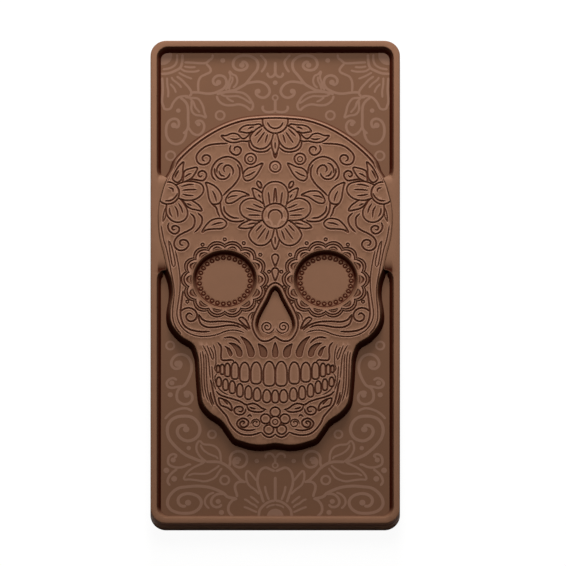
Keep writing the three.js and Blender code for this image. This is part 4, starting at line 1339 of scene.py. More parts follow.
class TABLET_OT_rim(bpy.types.Operator):
    """Makes the raised rim with its rounded edges and the webs that meet the skull's temples"""
    bl_idname = "tablet.rim"
    bl_label = "Rim"

    def execute(self, context):
        at = millimetres(context)
        top, field, radius, lean = at.face_height, at.field_height, at.edge_round, at.wall_lean
        outline = grown(rounded_rectangle(at.width, at.length, at.corner_radius), -radius, 0.6)
        opening = grown(rim_opening(at), radius * 0.7, 0.35)
        inner = at.width / 2 - at.rim_width
        skull = skull_outline()

        def walls(ring, upper):
            # painted shade on the rim's outer walls where they face away from the lamps
            dark = turned_from_light(ring) * 0.7
            edge = [(o, top + d, dark * k / 5) for k, (o, d) in enumerate(rounded(radius))]
            return edge + [(radius, field + 1.4, dark), (radius, field, dark)]

        def opening_walls(ring, upper):
            # beside the skull the wall leans back under the rim, and elsewhere it runs out to its foot
            free = np.clip((away_from(ring, skull) - 0.9) / 1.2, 0, 1)
            swing = free * 2 - 1
            # painted shade on the opening's walls where they face away from the lamps, and in the narrow gap
            # beside the skull
            dark = turned_from_light(ring)
            soft = dark * (0.4 + 0.6 * free)
            edge = [(o * 0.7, upper + d, soft * k / 5) for k, (o, d) in enumerate(rounded(radius))]
            mid = (top - radius + field) / 2
            return edge + [(0.7 * radius + swing * lean / 2, mid, np.maximum(dark, 1 - free)),
                           (0.7 * radius + swing * lean, field, np.maximum(dark, 0.5))]

        def height(flat):
            # the webs sink towards their lower tips and get painted shade there, and dip at their upper ends
            # with a painted highlight
            x, y = abs(flat[:, 0]), flat[:, 1]
            on_web = np.clip((inner + 0.2 - x) / 0.7, 0, 1)
            tip = np.clip((9.6 - y) / 5.4, 0, 1) * (y > 2) * on_web
            between = np.clip(2.5 * np.minimum(inner - x, x - 33.9), 0, 1)
            glint = np.clip((y - 31.2) / 2.4, 0, 1) * (y < 40) * on_web
            return top - 0.5 * tip ** 4 - 0.4 * glint ** 2, tip ** (1.4 + 3 * between) - 0.15 * glint

        tips = [filler([points(a, low, b, low + 6)], 0.28) for low in (3.5, 30)
                for a, b in ((-inner - 0.2, -31), (31, inner + 0.2))]
        spots = np.vstack([filler([outline], 3), *tips])
        piece = relief("rim_frame_visual", [outline], [opening], spots, height, walls, "relief_brown",
                       relief_material(context), opening_walls)
        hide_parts("rim_frame")
        return {"FINISHED"}


def crown_shoulder(radius):
    """The face's flat edge. Above the temples the face reaches past the groove that borders it."""
    line = even(skull_outline(), 0.28, True)
    rise = np.clip((line[:, 1] - 35) / 4, 0, 1)
    reach = CROWN_REACH * rise * rise * (3 - 2 * rise) - radius
    return even(line + normals(line) * reach[:, None], 0.28, True)


def border_groove():
    """The groove along the face's upper edge, over the crown from temple to temple."""
    half = SKULL_HALF[SKULL_HALF[:, 1] > 30]
    path = smooth(np.vstack([half[::-1], (half * (-1, 1))[1:]]))
    fall = 1 - np.clip((path[:, 1] - 33) / 5, 0, 1)
    return path - normals(path, False) * (0.12 - 0.3 * fall)[:, None]


class TABLET_OT_skull(bpy.types.Operator):
    """Makes the skull's face with its engraved scrolls, its pockets and its openings"""
    bl_idname = "tablet.skull"
    bl_label = "Skull face"

    def execute(self, context):
        at = millimetres(context)
        top, field, floor = at.face_height, at.field_height, at.socket_floor
        radius, lean, width = at.edge_round, at.wall_lean, at.line_width
        outline = crown_shoulder(radius)
        nose = grown(nose_outline(), radius * 0.6, ROUND_SPACING)
        eye = circle(*EYE, LIP[0] + 0.3, LIP[1] + 0.3)
        cuts = face_cuts(width)
        window = grown(face_window(), width)
        for name, (shapes, _, clip) in ornament_parts().items():
            deep = [grown(s, width / 2) for s in shapes]
            if clip:
                deep = kept_inside(deep, window)
            pockets = [Pocket(s) for s in deep]
            cuts += pockets
            if name in PAIRED:
                cuts += [p.mirror() for p in pockets]
        rim = Pocket(scalloped(CREST[0] + CREST_LIP, CREST[1] + CREST_LIP, at.scallops))
        cuts += [rim, rim.mirror()]
        spots = np.vstack([c.rows() for c in cuts] + [filler([outline], 1.4)])

        def height(flat):
            deep, dark = cut_depth(flat, cuts, at.line_depth)
            return top - deep, dark

        def walls(ring, upper):
            # painted shade on walls that face away from the lamps, weaker beside the webs and full at the
            # wall's foot, and a painted highlight on the crown's rounded edge that faces them
            dark = turned_from_light(ring)
            pale = np.clip(2.4 * normals(ring)[:, 1], 0, 1)
            soft = dark * np.where((ring[:, 1] > 6) & (ring[:, 1] < 33), 0.4, 1)
            edge = [(o, upper + d, soft * k / 5 - pale) for k, (o, d) in enumerate(rounded(radius))]
            return edge + [(radius + lean * 0.5, (top - radius + field) / 2, np.maximum(dark, 0.6)),
                           (radius + lean * 0.9, field + 0.3, np.maximum(dark, 0.9)),
                           (radius + lean, field, 1.0)]

        def hole_walls(ring, upper):
            # an eye's opening starts on the floor of its ring's pocket, and its wall is plain and painted
            # fully in shade
            if upper.mean() < top - 0.2:
                return [(0.0, field, 1.0)]
            # the nose's walls get painted shade where they face away from the lamps, and more of it towards
            # their floor and foot
            dark = turned_from_light(ring)
            edge = [(o * 0.6, top + d, dark * k / 5) for k, (o, d) in enumerate(rounded(radius))]
            foot = radius * 0.6 + 0.9
            return edge + [(radius * 0.6 + 0.45, (top + floor) / 2, dark),
                           (foot, floor, np.maximum(dark, 0.6)), (foot, field, 1.0)]

        piece = relief("skull_face", [outline], [nose, eye, mirrored(eye)], spots, height, walls,
                       "relief_brown", relief_material(context), hole_walls)
        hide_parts("skull_plate")
        return {"FINISHED"}


class TABLET_OT_ornaments(bpy.types.Operator):
    """Makes the inlaid flowers, leaves, drops and teeth"""
    bl_idname = "tablet.ornaments"
    bl_label = "Flowers, leaves, drops and teeth"

    def execute(self, context):
        width = millimetres(context).line_width
        face = face_window()
        for name, (shapes, veins, clip) in ornament_parts().items():
            window = face if clip else None
            cuts = [] if name.endswith("teeth") else ornament_cuts(shapes, veins, width)
            if name in PAIRED:
                right = [mirrored(s) for s in shapes]
                make_island(context, name + "_left", shapes, cuts, window)
                make_island(context, name + "_right", right, [c.mirror() for c in cuts], window)
            else:
                make_island(context, name, shapes, cuts, window)
        return {"FINISHED"}


def eye_surround(at):
    """The scalloped ring round the left eye, as a closed band of rows: its points, marks and faces."""
    turn, angle, less = scallop_turns(at.scallops)
    count = len(turn)
    top, pocket, floor = at.face_height, at.pocket_floor, at.socket_floor
    across = np.clip(abs((turn % 1) - 0.5) / 0.32, 0, 1)
    bow = np.sqrt(1 - across ** 2)
    # painted shade on the socket wall, strongest on its upper side that faces away from the lamps
    wall_shade = np.clip(0.75 + 1.2 * np.sin(angle), 0, 1)
    rows, marks = [], []

    def row(radius_x, radius_y, z, mark):
        rows.append(np.column_stack([EYE[0] + radius_x * np.cos(angle), EYE[1] + radius_y * np.sin(angle),
                                     np.broadcast_to(z, count)]))
        marks.append(np.broadcast_to(mark, count))

    def from_lip(out, z, mark):
        row(LIP[0] + out, LIP[1] + out, z, mark)

    # two scalloped grooves with a low band between them: way in from the crests, height, mark (painted shade
    # above 0, painted highlight below 0)
    low = pocket + 0.05
    for back, z, mark in (
            (-0.06, pocket - INLAY_SINK, 1.0), (0.02, low, 1.0), (0.14, top - 0.18, 0.5),
            (0.26, top - 0.02, -0.5), (0.38, top + 0.03, -0.7), (0.5, top - 0.04, 0.0),
            (0.62, top - 0.18, 0.5), (0.74, low, 1.0), (0.88, low, 1.0), (0.99, top - 0.16, 0.5),
            (1.09, top + 0.03, -0.8), (1.18, top + 0.05, -1.0)):
        row(CREST[0] - less - back, CREST[1] - less - back, z, mark)
    # a sunk half moon in each scallop: share of its height, share of its depth, mark of painted shade or
    # painted highlight
    foot, band = 0.4, 1.3
    room_x = np.maximum(CREST[0] - less - band - LIP[0] - foot, 0.06)
    room_y = np.maximum(CREST[1] - less - band - LIP[1] - foot, 0.06)
    deep = np.where(across >= 0.999, 0.0, 0.34 * np.sqrt(bow))
    for share, sink, mark in ((1.0, -0.1, -0.5), (0.9, 0.6, 0.8), (0.78, 1.0, 1.0), (0.64, 1.0, 0.7),
                              (0.5, 0.5, -0.3), (0.34, 0.4, -0.3), (0.22, 0.8, 0.8), (0.08, 0.8, 0.8)):
        row(LIP[0] + foot + room_x * bow * share, LIP[1] + foot + room_y * bow * share, top - deep * sink,
            mark * bow)
    # the lip, the wall down to the socket's floor, and back along the underside; the wall's upper side,
    # turned away from the lamps, gets painted shade
    from_lip(foot - 0.06, top, -0.4)
    for offset, lower in rounded(0.3):
        from_lip(0.26 - offset, top + lower, wall_shade * 0.3)
    for out, z, mark in ((-0.42, (top + floor) / 2, wall_shade), (-0.8, floor + 0.2, wall_shade),
                         (-0.9, floor, np.maximum(wall_shade, 0.8)), (-0.9, floor - 0.3, 1.0),
                         (0.22, floor - 0.3, 1.0), (0.22, pocket - INLAY_SINK, 1.0)):
        from_lip(out, z, mark)

    faces = []
    for r in range(len(rows)):
        here, ahead = r * count, (r + 1) % len(rows) * count
        for i in range(count):
            j = (i + 1) % count
            faces.append((here + i, here + j, ahead + j, ahead + i))
    return np.vstack(rows), np.concatenate(marks), faces


def eye_disc(context, side, name):
    """The floor of one eye socket with its ring of beads. The side is 1 for left and -1 for right."""
    at = millimetres(context)
    floor = at.socket_floor
    middle = (EYE[0] * side, EYE[1])
    # the floor ends at the foot of the ring's wall, and the beads stand this far inside its lip
    floor_in, beads_in_x, beads_in_y = 0.92, 2.0, 1.95
    outline = circle(*middle, LIP[0] - floor_in, LIP[1] - floor_in)
    ring_x, ring_y = LIP[0] - beads_in_x, LIP[1] - beads_in_y
    moat_depth = 0.12
    turn = np.arange(at.beads) / at.beads * 2 * math.pi
    beads = np.column_stack([middle[0] + ring_x * np.cos(turn), middle[1] + ring_y * np.sin(turn)])

    # the disc's wall is painted fully in shade
    def walls(ring, upper):
        return [(0.0, at.field_height, 1.0)]

    # painted shade in the moat round each bead and on the floor's outer band under the ring's wall
    def height(flat):
        x, y = flat[:, 0] - middle[0], flat[:, 1] - middle[1]
        out = np.hypot(x, y) - np.hypot(x * ring_x, y * ring_y) / np.maximum(np.hypot(x, y), 0.1)
        gap = np.min([np.hypot(*(flat - b).T) for b in beads], 0)
        moat = np.clip(1 - (gap - at.bead_radius - 0.3) / 0.2, 0, 1)
        return floor - moat_depth * moat, np.maximum(moat, np.clip((out - 0.6) / 0.3, 0, 0.9))

    spots = [circle(*middle, ring_x + k, ring_y + k) for k in (0.85, 0.5, -1.1, -2.4)]
    spots += [circle(*b, at.bead_radius + k, count=14) for b in beads for k in (-0.1, 0.1, 0.3, 0.5)]
    spots.append(filler([outline], 2))
    piece = relief(f"eye_disc_{name}_visual", [outline], [], np.vstack(spots), height, walls, "relief_brown",
                   relief_material(context), ride=False)
    modifier = piece.modifiers.new("beads", "NODES")
    modifier.node_group = bpy.data.node_groups.get("bead_ring") or bead_ring_tree()
    set_inputs(modifier, {
        "Count": at.beads, "Radius X": ring_x * MM, "Radius Y": ring_y * MM, "Centre X": middle[0] * MM,
        "Centre Y": middle[1] * MM, "Floor": (floor - moat_depth) * MM,
        "Bead radius": context.scene.tablet_sizes.bead_radius, "Dome": 0.75,
        "Material": relief_material(context)})
    applied(piece)
    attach(piece, "root")
    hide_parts(f"eye_disc_{name}")


class TABLET_OT_eyes(bpy.types.Operator):
    """Makes the scalloped ring and the beaded floor of each eye socket"""
    bl_idname = "tablet.eyes"
    bl_label = "Eyes"

    def execute(self, context):
        verts, marks, faces = eye_surround(millimetres(context))
        for side, name in ((1, "left"), (-1, "right")):
            turned = faces if side > 0 else [f[::-1] for f in faces]
            piece = new_piece(f"eye_surround_{name}_visual", verts * (side, 1, 1), turned,
                              relief_material(context), marks)
            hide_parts(f"eye_surround_{name}")
            eye_disc(context, side, name)
        return {"FINISHED"}


class TABLET_OT_nose(bpy.types.Operator):
    """Makes the floor of the nose with its two engraved scrolls"""
    bl_idname = "tablet.nose"
    bl_label = "Nose floor"

    def execute(self, context):
        at = millimetres(context)
        outline = grown(nose_outline(), -0.92, ROUND_SPACING)
        scroll = Line(spiral(-2.5, -13.9, 1.85, 0.25, 250, -1.75), 0.5)
        tail = Line(smooth(points(-3.1, -15.6, -2, -15.9, -0.9, -15.3, -0.3, -14.4)), 0.5)
        cuts = [scroll, scroll.mirror(), tail, tail.mirror()]
        spots = np.vstack([c.rows() for c in cuts] + [filler([outline], 1.2)])

        # painted shade in the scrolls' grooves and painted highlight beside them
        def height(flat):
            deep, dark = cut_depth(flat, cuts, at.line_depth)
            return at.socket_floor - deep, dark

        # the floor's wall is painted fully in shade
        def walls(ring, upper):
            return [(0.0, at.field_height, 1.0)]

        piece = relief("nose_panel_visual", [outline], [], spots, height, walls, "relief_brown",
                       relief_material(context))
        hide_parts("nose_panel")
        return {"FINISHED"}


# The field's pattern on the left half: width of each line, then readings along it
FIELD_LINES = [
    # corner sunflower
    (0.8, -34.9, 68.5, -34.3, 68.6, -32.5, 69, -31, 70, -30.4, 71.5, -30.4, 73.4),
    (0.95, -35.4, 67.1, -33, 67.3, -31, 68.1, -29.5, 69, -28.9, 70.5, -28.7, 73.4),
    (0.85, -28.2, 70.8, -26, 70.7, -23, 70.5, -21.5, 70.6, -20.5, 71.4, -19.5, 72.3, -19.4, 73.4),
    (0.85, -21.5, 70.4, -20.6, 69.5, -20, 68.5, -20.2, 67.7, -21.5, 67, -23, 66.2, -23.7, 65, -23.9, 63.5,
     -23.8, 61.5),
    (0.75, -28.3, 69.5, -26.4, 69.2, -24.6, 69.3),
    (0.75, -29.3, 68.8, -28, 68, -26, 67.8, -24.5, 67.9, -23.4, 68.3),
    (0.75, -30, 67.6, -28.5, 66.7, -27, 66, -25.7, 65.5),
    (0.85, -30.6, 66.4, -29, 65.2, -27.8, 63.9, -26.6, 62.5, -26, 61.3, -26.1, 60.5, -26.8, 60),
    (0.75, -32.2, 66.2, -31.7, 65.3, -30.6, 64.4, -29.6, 63.5, -29, 62.6),
    (0.75, -32.6, 64, -31.5, 62.8, -31, 61.9, -30.7, 61),
    (0.75, -33.5, 66, -33.4, 63.5, -33.1, 61.5, -33.2, 59.5),
    (0.85, -35, 66, -34.8, 62, -35, 58, -34.6, 56.8, -34.3, 56, -33, 55.8, -32.3, 56.3, -31.8, 57.5,
     -31, 58.7, -30, 59.6, -28.5, 60, -26.8, 60),
    # stem and leaf below it
    (0.95, -29.5, 59.6, -28.2, 58.6, -27.3, 57.3, -27, 55.5, -27, 53, -27, 50.2, -27.5, 49, -28.6, 48),
    (0.8, -26.9, 50.2, -26.2, 48.9, -25.2, 48),
    (0.8, -28, 59.7, -26.3, 59.5, -24, 59.2, -23, 58, -22.3, 56.5, -22, 55, -21.3, 53),
    (0.8, -26, 58.6, -25.9, 57.5, -26, 56, -25.5, 54.7, -24.5, 54, -23, 53.8, -21.3, 53),
    (0.75, -26.5, 59.4, -25.3, 58, -24.8, 56.5, -24, 55.5, -23.3, 54.7),
    # spirals beside the crown
    (0.95, -31.4, 50.4, -30.3, 50.1, -29.8, 51.2, -30.1, 52.3, -31.2, 52.8, -32.6, 52.3, -33.5, 51,
     -33.8, 49, -33.5, 47, -32.4, 45.4, -30.6, 44.7, -28.9, 45.4, -27.9, 47, -27.5, 49),
    (0.9, -23.9, 51.2, -24.6, 51.6, -23.8, 52.2, -22.8, 52, -22.1, 51, -22.1, 49.6, -22.8, 48.3, -24, 47.6,
     -25.3, 48, -26.3, 49),
    # scrolls above the crown
    (0.95, -17.6, 63.8, -18.4, 63.6, -19.2, 64.3, -19.2, 65.4, -18.2, 66.4, -17, 66.6, -15.8, 66.1,
     -15.2, 65, -15.2, 63.8, -16, 62.5, -17.5, 61.6, -19, 61, -21, 60.8, -24, 61.2, -26, 61.2),
    (1.0, -10.6, 70.6, -9.8, 71, -9, 70.5, -8.7, 69.7, -9.2, 68.8, -10.5, 68.3, -12, 68.5, -13, 69.6,
     -13, 71, -12.2, 72.2, -10.5, 72.9, -8.5, 72.9, -6.8, 72.3, -5.7, 71.2, -5.4, 70, -5.8, 68.3, -7, 66.8,
     -8, 65.5, -8.9, 64.3, -9.5, 63.7, -11, 62.8, -12.5, 62, -14.3, 61.6, -16, 61.2, -18, 60.7),
    (0.85, -4.8, 73.2, -3.8, 72.2, -3, 71, -3.2, 69.7, -3.8, 68.5, -4.5, 67.6),
    (0.95, -9.2, 64, -7.5, 64.4, -5, 64.6, -3.3, 64, -2.2, 62.8, -1.8, 61.4, -2.4, 60.2, -3.7, 59.5,
     -5.2, 59.9, -6, 60.8, -5.9, 61.8, -5.3, 62),
    (0.75, -14.3, 68.2, -13.3, 67, -12.3, 66.5, -11.8, 65, -12.2, 63.6, -13.2, 62.6),
    (0.75, -14.4, 68, -13.9, 66.2, -14.4, 64.5, -14.7, 63, -15.5, 61.9),
    (0.7, -13.3, 66.3, -13.3, 65, -14, 63.5, -14.4, 62),
    (0.85, -18.2, 60.5, -17, 61, -14, 61.4, -11.5, 61.3, -10, 61, -8.6, 60, -7.6, 58.6, -7, 57.5, -7, 56.5,
     -7.6, 55.4),
    (0.85, -18.2, 60.2, -17.8, 59, -17, 58, -15.5, 57.2, -13.5, 57.1, -11.5, 57.4, -10, 57.1, -8.5, 56.2,
     -7.7, 55.3),
    (0.75, -17, 60.6, -15.5, 60, -13, 60, -11.8, 60, -10, 59.3, -8.5, 58.3, -7.5, 57.6),
    (0.75, -15.3, 59.7, -14, 58.7, -12.8, 58.2),
    (0.9, -0.1, 67.5, -0.6, 66.5, -1.7, 66.1, -2.4, 66.7, -2.4, 67.6),
    (0.9, -0.1, 55.3, -0.6, 55.1, -1.5, 54.9, -3, 55, -3.8, 55.6, -4, 56.4, -3.7, 57),
    # beside the jaw
    (1.0, -30.4, -25.2, -29.6, -24.6, -29.1, -25.4, -29.6, -26.6, -30.9, -26.9, -32, -26, -32.1, -24.5,
     -31, -22.9, -29.2, -22.3, -27.4, -22.9, -26.2, -24.6, -25.9, -26.6, -26.3, -28.6, -28, -32, -29.5, -33,
     -30.2, -34, -30.5, -35.5, -30.2, -37, -29, -38, -27.5, -38.2, -26.3, -37.6, -25.7, -36.5, -25.9, -35.2,
     -26.7, -34.4, -27.7, -34.3, -28.3, -34.9),
    (0.9, -30.4, -30.6, -31.6, -29.9, -32.9, -30.4, -33.6, -31.5, -33.2, -32.6, -32, -33, -30.5, -32.7,
     -28.8, -32.4),
    (0.9, -34.2, -43, -33, -41.6, -31.5, -40.5, -29.5, -39.7, -27.8, -39.5, -26.6, -39.9, -25.6, -40.5),
    (1.15, -21.5, -56.6, -23.5, -56.2, -25.5, -55.4, -27.5, -54.5, -29.5, -53, -31.5, -51, -32.8, -49.2,
     -33.4, -47, -33.2, -45, -32.2, -43.3, -30.5, -42.3, -28.3, -42, -26, -42.3, -24.4, -43.5, -23.5, -45.2,
     -23.4, -47, -24.2, -48.6, -25.6, -49.6, -27.3, -49.9, -29, -49.2, -30.1, -47.9, -30.3, -46.5,
     -29.6, -45.3, -28.2, -44.9, -27.3, -45.4),
    # leaves and stem beside the chin
    (0.8, -23.5, -49.7, -24.3, -51, -24.4, -52.7, -23.7, -54.3, -22.7, -55.5, -21.3, -56.5),
    (0.8, -23.4, -49.7, -22.3, -50.9, -20, -51.2, -18.5, -51.8, -17.5, -52.9, -17, -54.3, -16.9, -56,
     -16.6, -57),
    (0.75, -23.2, -51, -22.5, -52.5, -21, -53.8, -19.5, -54.5, -18.3, -55, -17.7, -55.8),
    (0.9, -31.3, -55.4, -30.6, -54.6, -31.6, -54.1, -32.8, -54.8, -33.2, -56, -33, -57.3, -32, -58,
     -30.5, -58.4, -28.5, -58.2, -27, -57.5, -26, -57.4),
    (0.9, -30.3, -58.8, -31.8, -60, -33, -61.5, -33.3, -63, -32.5, -64.2),
    (0.8, -22, -56.8, -23.5, -57.5, -25.5, -58.5, -27, -59.7, -28, -61, -28.4, -62.3),
    (0.8, -28.4, -62.3, -26.5, -62.2, -24, -62.5, -22, -62.8, -20, -62.3, -18.6, -61.5, -17.6, -60,
     -16.5, -58.5),
    (0.75, -27, -61, -25.5, -60.4, -23, -60.4, -21, -60.2, -19.5, -59.3, -18, -58.3, -17.3, -57.6),
    (1.05, -21.5, -56.6, -18, -56.6, -16.5, -57, -15, -57.9, -13.6, -59.1, -12.7, -60.3, -11.7, -61.3,
     -10.8, -62.3, -9.6, -63),
    (0.95, -10.9, -56.4, -11.3, -55.5, -12.3, -55.4, -13, -56.4, -12.7, -57.6, -11.5, -58.3, -10.3, -58.2,
     -9.2, -57.2, -8.8, -55.8, -9.2, -54.3, -10.3, -53.4, -11.8, -53.2, -13.3, -53.9, -14, -55.3, -14, -57,
     -14.5, -58.3),
    # spirals in the lower corner
    (1.1, -12, -68.3, -13.5, -68.1, -15, -67.6, -16, -66.6, -18, -65.6, -20.5, -64.7, -24, -64.3,
     -27, -64.5, -30, -65, -32, -66.5, -33.2, -68.5, -33.3, -70.3, -32.3, -71.8, -30.5, -72.7, -28, -73,
     -25.5, -72.7, -23.7, -71.5, -22.9, -69.8, -23.3, -68.3, -24.7, -67.2, -26.8, -66.7, -28.8, -67.1,
     -30, -68.3, -29.9, -69.8, -28.8, -70.7, -27.5, -70.6),
    (0.95, -15.8, -66.8, -18, -66.9, -19.3, -67.8, -19.9, -69.2, -19.6, -70.3, -18.5, -71, -17.2, -70.8,
     -16.6, -70),
    (0.8, -18.9, -66.3, -20.5, -67, -21.6, -68.3, -21.8, -69.7, -21.2, -70.8, -20.4, -71.5),
    # half marigold at the bottom
    (0.7, -2.8, -71.4, -2.4, -70.9, -1.5, -70.5, -0.1, -70.2),
    (0.95, -5.2, -74.2, -5.1, -73, -4.9, -72, -4, -70.8, -2.8, -69.8, -1.3, -69.1, -0.1, -69),
    (0.95, -0.1, -59.5, -0.6, -59.4, -1.8, -58.9, -3, -58.4, -4, -58.7, -5, -59.8, -5.5, -61.5, -5.6, -62.8,
     -5.3, -64.5, -4.6, -66.5, -4, -68.5, -3.6, -69.6),
    (0.85, -3.3, -64.2, -3, -66, -2.4, -67.8, -2, -68.8),
    (0.8, -8.7, -59.2, -9.1, -60.5, -8.9, -62.5, -8.2, -64, -7, -65, -5.8, -66, -5, -67),
    (0.8, -8.7, -59.2, -7.5, -60.5, -6.5, -61.8, -5.8, -62.7),
    (0.95, -9, -63, -10.5, -62.9, -11.8, -63.2, -12.5, -64.2, -12.4, -65.5, -12, -66.8, -11.8, -67.9),
    (0.8, -9.8, -68.4, -8.6, -69, -7.5, -69.9, -6.3, -70.5, -5.6, -71.3),
    (0.8, -7.9, -67.5, -6.5, -68.5, -5.1, -69.8),
    (0.95, -11.8, -68.2, -13.3, -68.9, -14.3, -70.2, -14.6, -71.5, -14.3, -72.8, -13, -74.1),
    (0.8, -9.9, -70.9, -8.5, -71.4, -7, -72.1, -5.6, -72.7),
    # fleur under the chin
    (0.85, -3.1, -55.5, -3, -54.5, -2.2, -53.9, -1.2, -54.1, -0.5, -55, -0.1, -55.4),
]
# Straight stems on the middle line: width, then readings
MIDDLE_STEMS = [
    (1.0, 0, 71, 0, 66.6), (1.0, 0, 58.8, 0, 55.2), (1.05, 0, -61.3, 0, -69), (0.9, 0, -55, 0, -56.9)]
# Rings: x, y, radius and width
FIELD_RINGS = [
    (-17, 53.9, 1.35, 0.75), (-32.3, 41, 1.4, 0.75), (-32.4, -19.5, 1.25, 0.75),
    (-19.5, -47.8, 1.2, 0.75), (-15.6, -62.4, 1.35, 0.8)]
MIDDLE_FIELD_RINGS = [(0, 59.5, 0.8, 0.6), (0, -57.7, 0.8, 0.6)]
# Round studs: x, y, radius
FIELD_STUDS = [
    (-29.9, 55.4, 0.7), (-31.3, 50.7, 0.9), (-23.7, 51.1, 0.7), (-17.5, 64.4, 0.85), (-16.2, 71.4, 0.75),
    (-10.3, 69.9, 0.85), (-5.3, 61.6, 0.8), (-32.4, -35.2, 0.8), (-30.2, -25.3, 1.0), (-27.3, -35.3, 0.85),
    (-31.9, -31.4, 0.8), (-27.5, -46.2, 1.0), (-26.7, -52.2, 0.7), (-31.5, -56, 0.8), (-31.2, -62, 0.9),
    (-33.6, -59.3, 0.9), (-5.7, -56.3, 0.7), (-16.6, -72.7, 0.8), (-26.9, -69.6, 0.95), (-11.8, -56.6, 0.8),
    (-17.6, -69.2, 0.8), (-34.9, 73, 3.1)]
MIDDLE_STUDS = [(0, 64.3, 0.75), (0, -74.1, 2.6)]


class PatternPaths:
    """The pattern's lines and studs, as loose edges and points that carry their widths and radii."""

    def __init__(self, level, shows):
        self.level = level
        self.shows = shows
        self.verts, self.edges = [], []
        self.half_widths, self.lifts, self.stud_radii = [], [], []
        self.lines = 0

    def line(self, path, width, closed=False):
        """Adds a line where it shows. Lines that cross lie at slightly different heights."""
        self.lines += 1
        first, count = len(self.verts), len(path)
        run = np.r_[0, np.cumsum(np.hypot(*np.diff(path, axis=0).T))]
        end = np.minimum(run, run[-1] - run)
        half = width / 2
        round_end = np.sqrt(np.clip(1 - (1 - np.clip(end / half, 0, 1)) ** 2, 0.02, 1))
        self.verts.extend((x, y, self.level) for x, y in path)
        self.half_widths.extend([half] * count if closed else half * round_end)
        self.lifts.extend([self.lines % 41 * 0.0003] * count)
        self.stud_radii.extend([0.0] * count)
        show = self.shows(path)
        start = 0
        for i in range(count + 1):
            if i == count or not show[i]:
                if i - start > 5:
                    self.edges.extend((first + k, first + k + 1) for k in range(start, i - 1))
                start = i + 1
        if closed:
            self.edges.append((first + count - 1, first))

    def pair(self, path, width, closed=False):
        """Adds a line and its mirror image."""
        self.line(path, width, closed)
        self.line(mirrored(path), width, closed)

    def stud(self, x, y, radius):
        """Adds a round stud, a little higher than the lines."""
        self.verts.append((x, y, self.level))
        self.half_widths.append(0.0)
        self.lifts.append(0.014)
        self.stud_radii.append(radius)

    def mesh(self, name):
        """All of it as one mesh in metres."""
        mesh = bpy.data.meshes.new(name)
        mesh.from_pydata([tuple(c * MM for c in v) for v in self.verts], self.edges, [])
        for label, values in (("half_width", self.half_widths), ("lift", self.lifts),
                              ("stud_radius", self.stud_radii)):
            layer = mesh.attributes.new(label, "FLOAT", "POINT")
            layer.data.foreach_set("value", np.array(values, np.float32) * MM)
        return mesh


class TABLET_OT_pattern(bpy.types.Operator):
    """Makes the flower pattern that stands a little proud of the field"""
    bl_idname = "tablet.pattern"
    bl_label = "Field pattern"

    def execute(self, context):
        at = millimetres(context)
        sizes = context.scene.tablet_sizes
        # a line may run this far up the feet of the walls
        under_wall = 0.25
        foot = grown(rim_opening(at), under_wall - at.wall_lean, 0.3)
        skull = grown(skull_outline(), at.wall_lean - under_wall)
        paths = PatternPaths(at.field_height, lambda path: inside(path, foot) & ~inside(path, skull))
        for width, *values in FIELD_LINES:
            paths.pair(smooth(points(*values) + (FIELD_SHIFT, 0), spacing=0.3), width)
        for width, *values in MIDDLE_STEMS:
            paths.line(even(points(*values), 0.3), width)
        for x, y, radius, width in FIELD_RINGS:
            paths.pair(circle(x, y, radius, count=36), width, True)
        for x, y, radius, width in MIDDLE_FIELD_RINGS:
            paths.line(circle(x, y, radius, count=28), width, True)
        for x, y, radius in FIELD_STUDS:
            paths.stud(x, y, radius)
            paths.stud(-x, y, radius)
        for x, y, radius in MIDDLE_STUDS:
            paths.stud(x, y, radius)
        piece = bpy.data.objects.new("field_pattern", paths.mesh("field_pattern"))
        context.scene.collection.objects.link(piece)
        modifier = piece.modifiers.new("raised lines", "NODES")
        modifier.node_group = raised_line_tree()
        set_inputs(modifier, {
            "Width scale": 0.88, "Level": sizes.field_height, "Height": sizes.pattern_height,
            "Material": pattern_material(context)})
        applied(piece)
        piece.name = piece.data.name = "field_pattern"
        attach(piece, "root")
        return {"FINISHED"}


# The stage in metres and degrees: the floor's half width, and the camera at the photograph's angle
FLOOR_REACH = 3.0
CAMERA_TILT = 75.5
CAMERA_SCALE = 0.1747
CAMERA_TARGET = Vector((0.0024, -0.00032, 0.009))
CAMERA_DISTANCE = 0.6
# Name, place, size and power of each lamp, and the spot that they point at
LAMPS = (("soft_box", (0.0, 0.34, 0.2), 0.14, 1.2), ("top_fill", (0.0, 0.2, 0.45), 0.3, 1.2))
LAMP_AIM = Vector((0, 0.01, 0))


def stage_floor(scene):
    """A plain floor that looks evenly pale and throws a soft light back at the tablet."""
    r = FLOOR_REACH
    mesh = bpy.data.meshes.new("floor")
    mesh.from_pydata([(-r, -r, 0), (r, -r, 0), (r, r, 0), (-r, r, 0)], [], [(0, 1, 2, 3)])
    floor = bpy.data.objects.new("floor", mesh)
    scene.collection.objects.link(floor)
    paint = bpy.data.materials.new("pale_floor")
    paint.use_nodes = True
    tree = paint.node_tree
    tree.nodes.clear()
    seen = add_node(tree, "ShaderNodeEmission", {"Color": scene.tablet_colours.floor, "Strength": 1.0})
    lit = add_node(tree, "ShaderNodeBsdfDiffuse", {"Color": (0.12, 0.12, 0.12, 1)})
    dull = add_node(tree, "ShaderNodeBsdfDiffuse", {"Color": (0.85, 0.82, 0.8, 1)})
    both = add_node(tree, "ShaderNodeAddShader", {0: seen.outputs[0], 1: lit.outputs[0]})
    path = add_node(tree, "ShaderNodeLightPath")
    mix = add_node(tree, "ShaderNodeMixShader", {
        "Fac": path.outputs["Is Camera Ray"], 1: dull.outputs[0], 2: both.outputs[0]})
    add_node(tree, "ShaderNodeOutputMaterial", {"Surface": mix.outputs[0]})
    mesh.materials.append(paint)


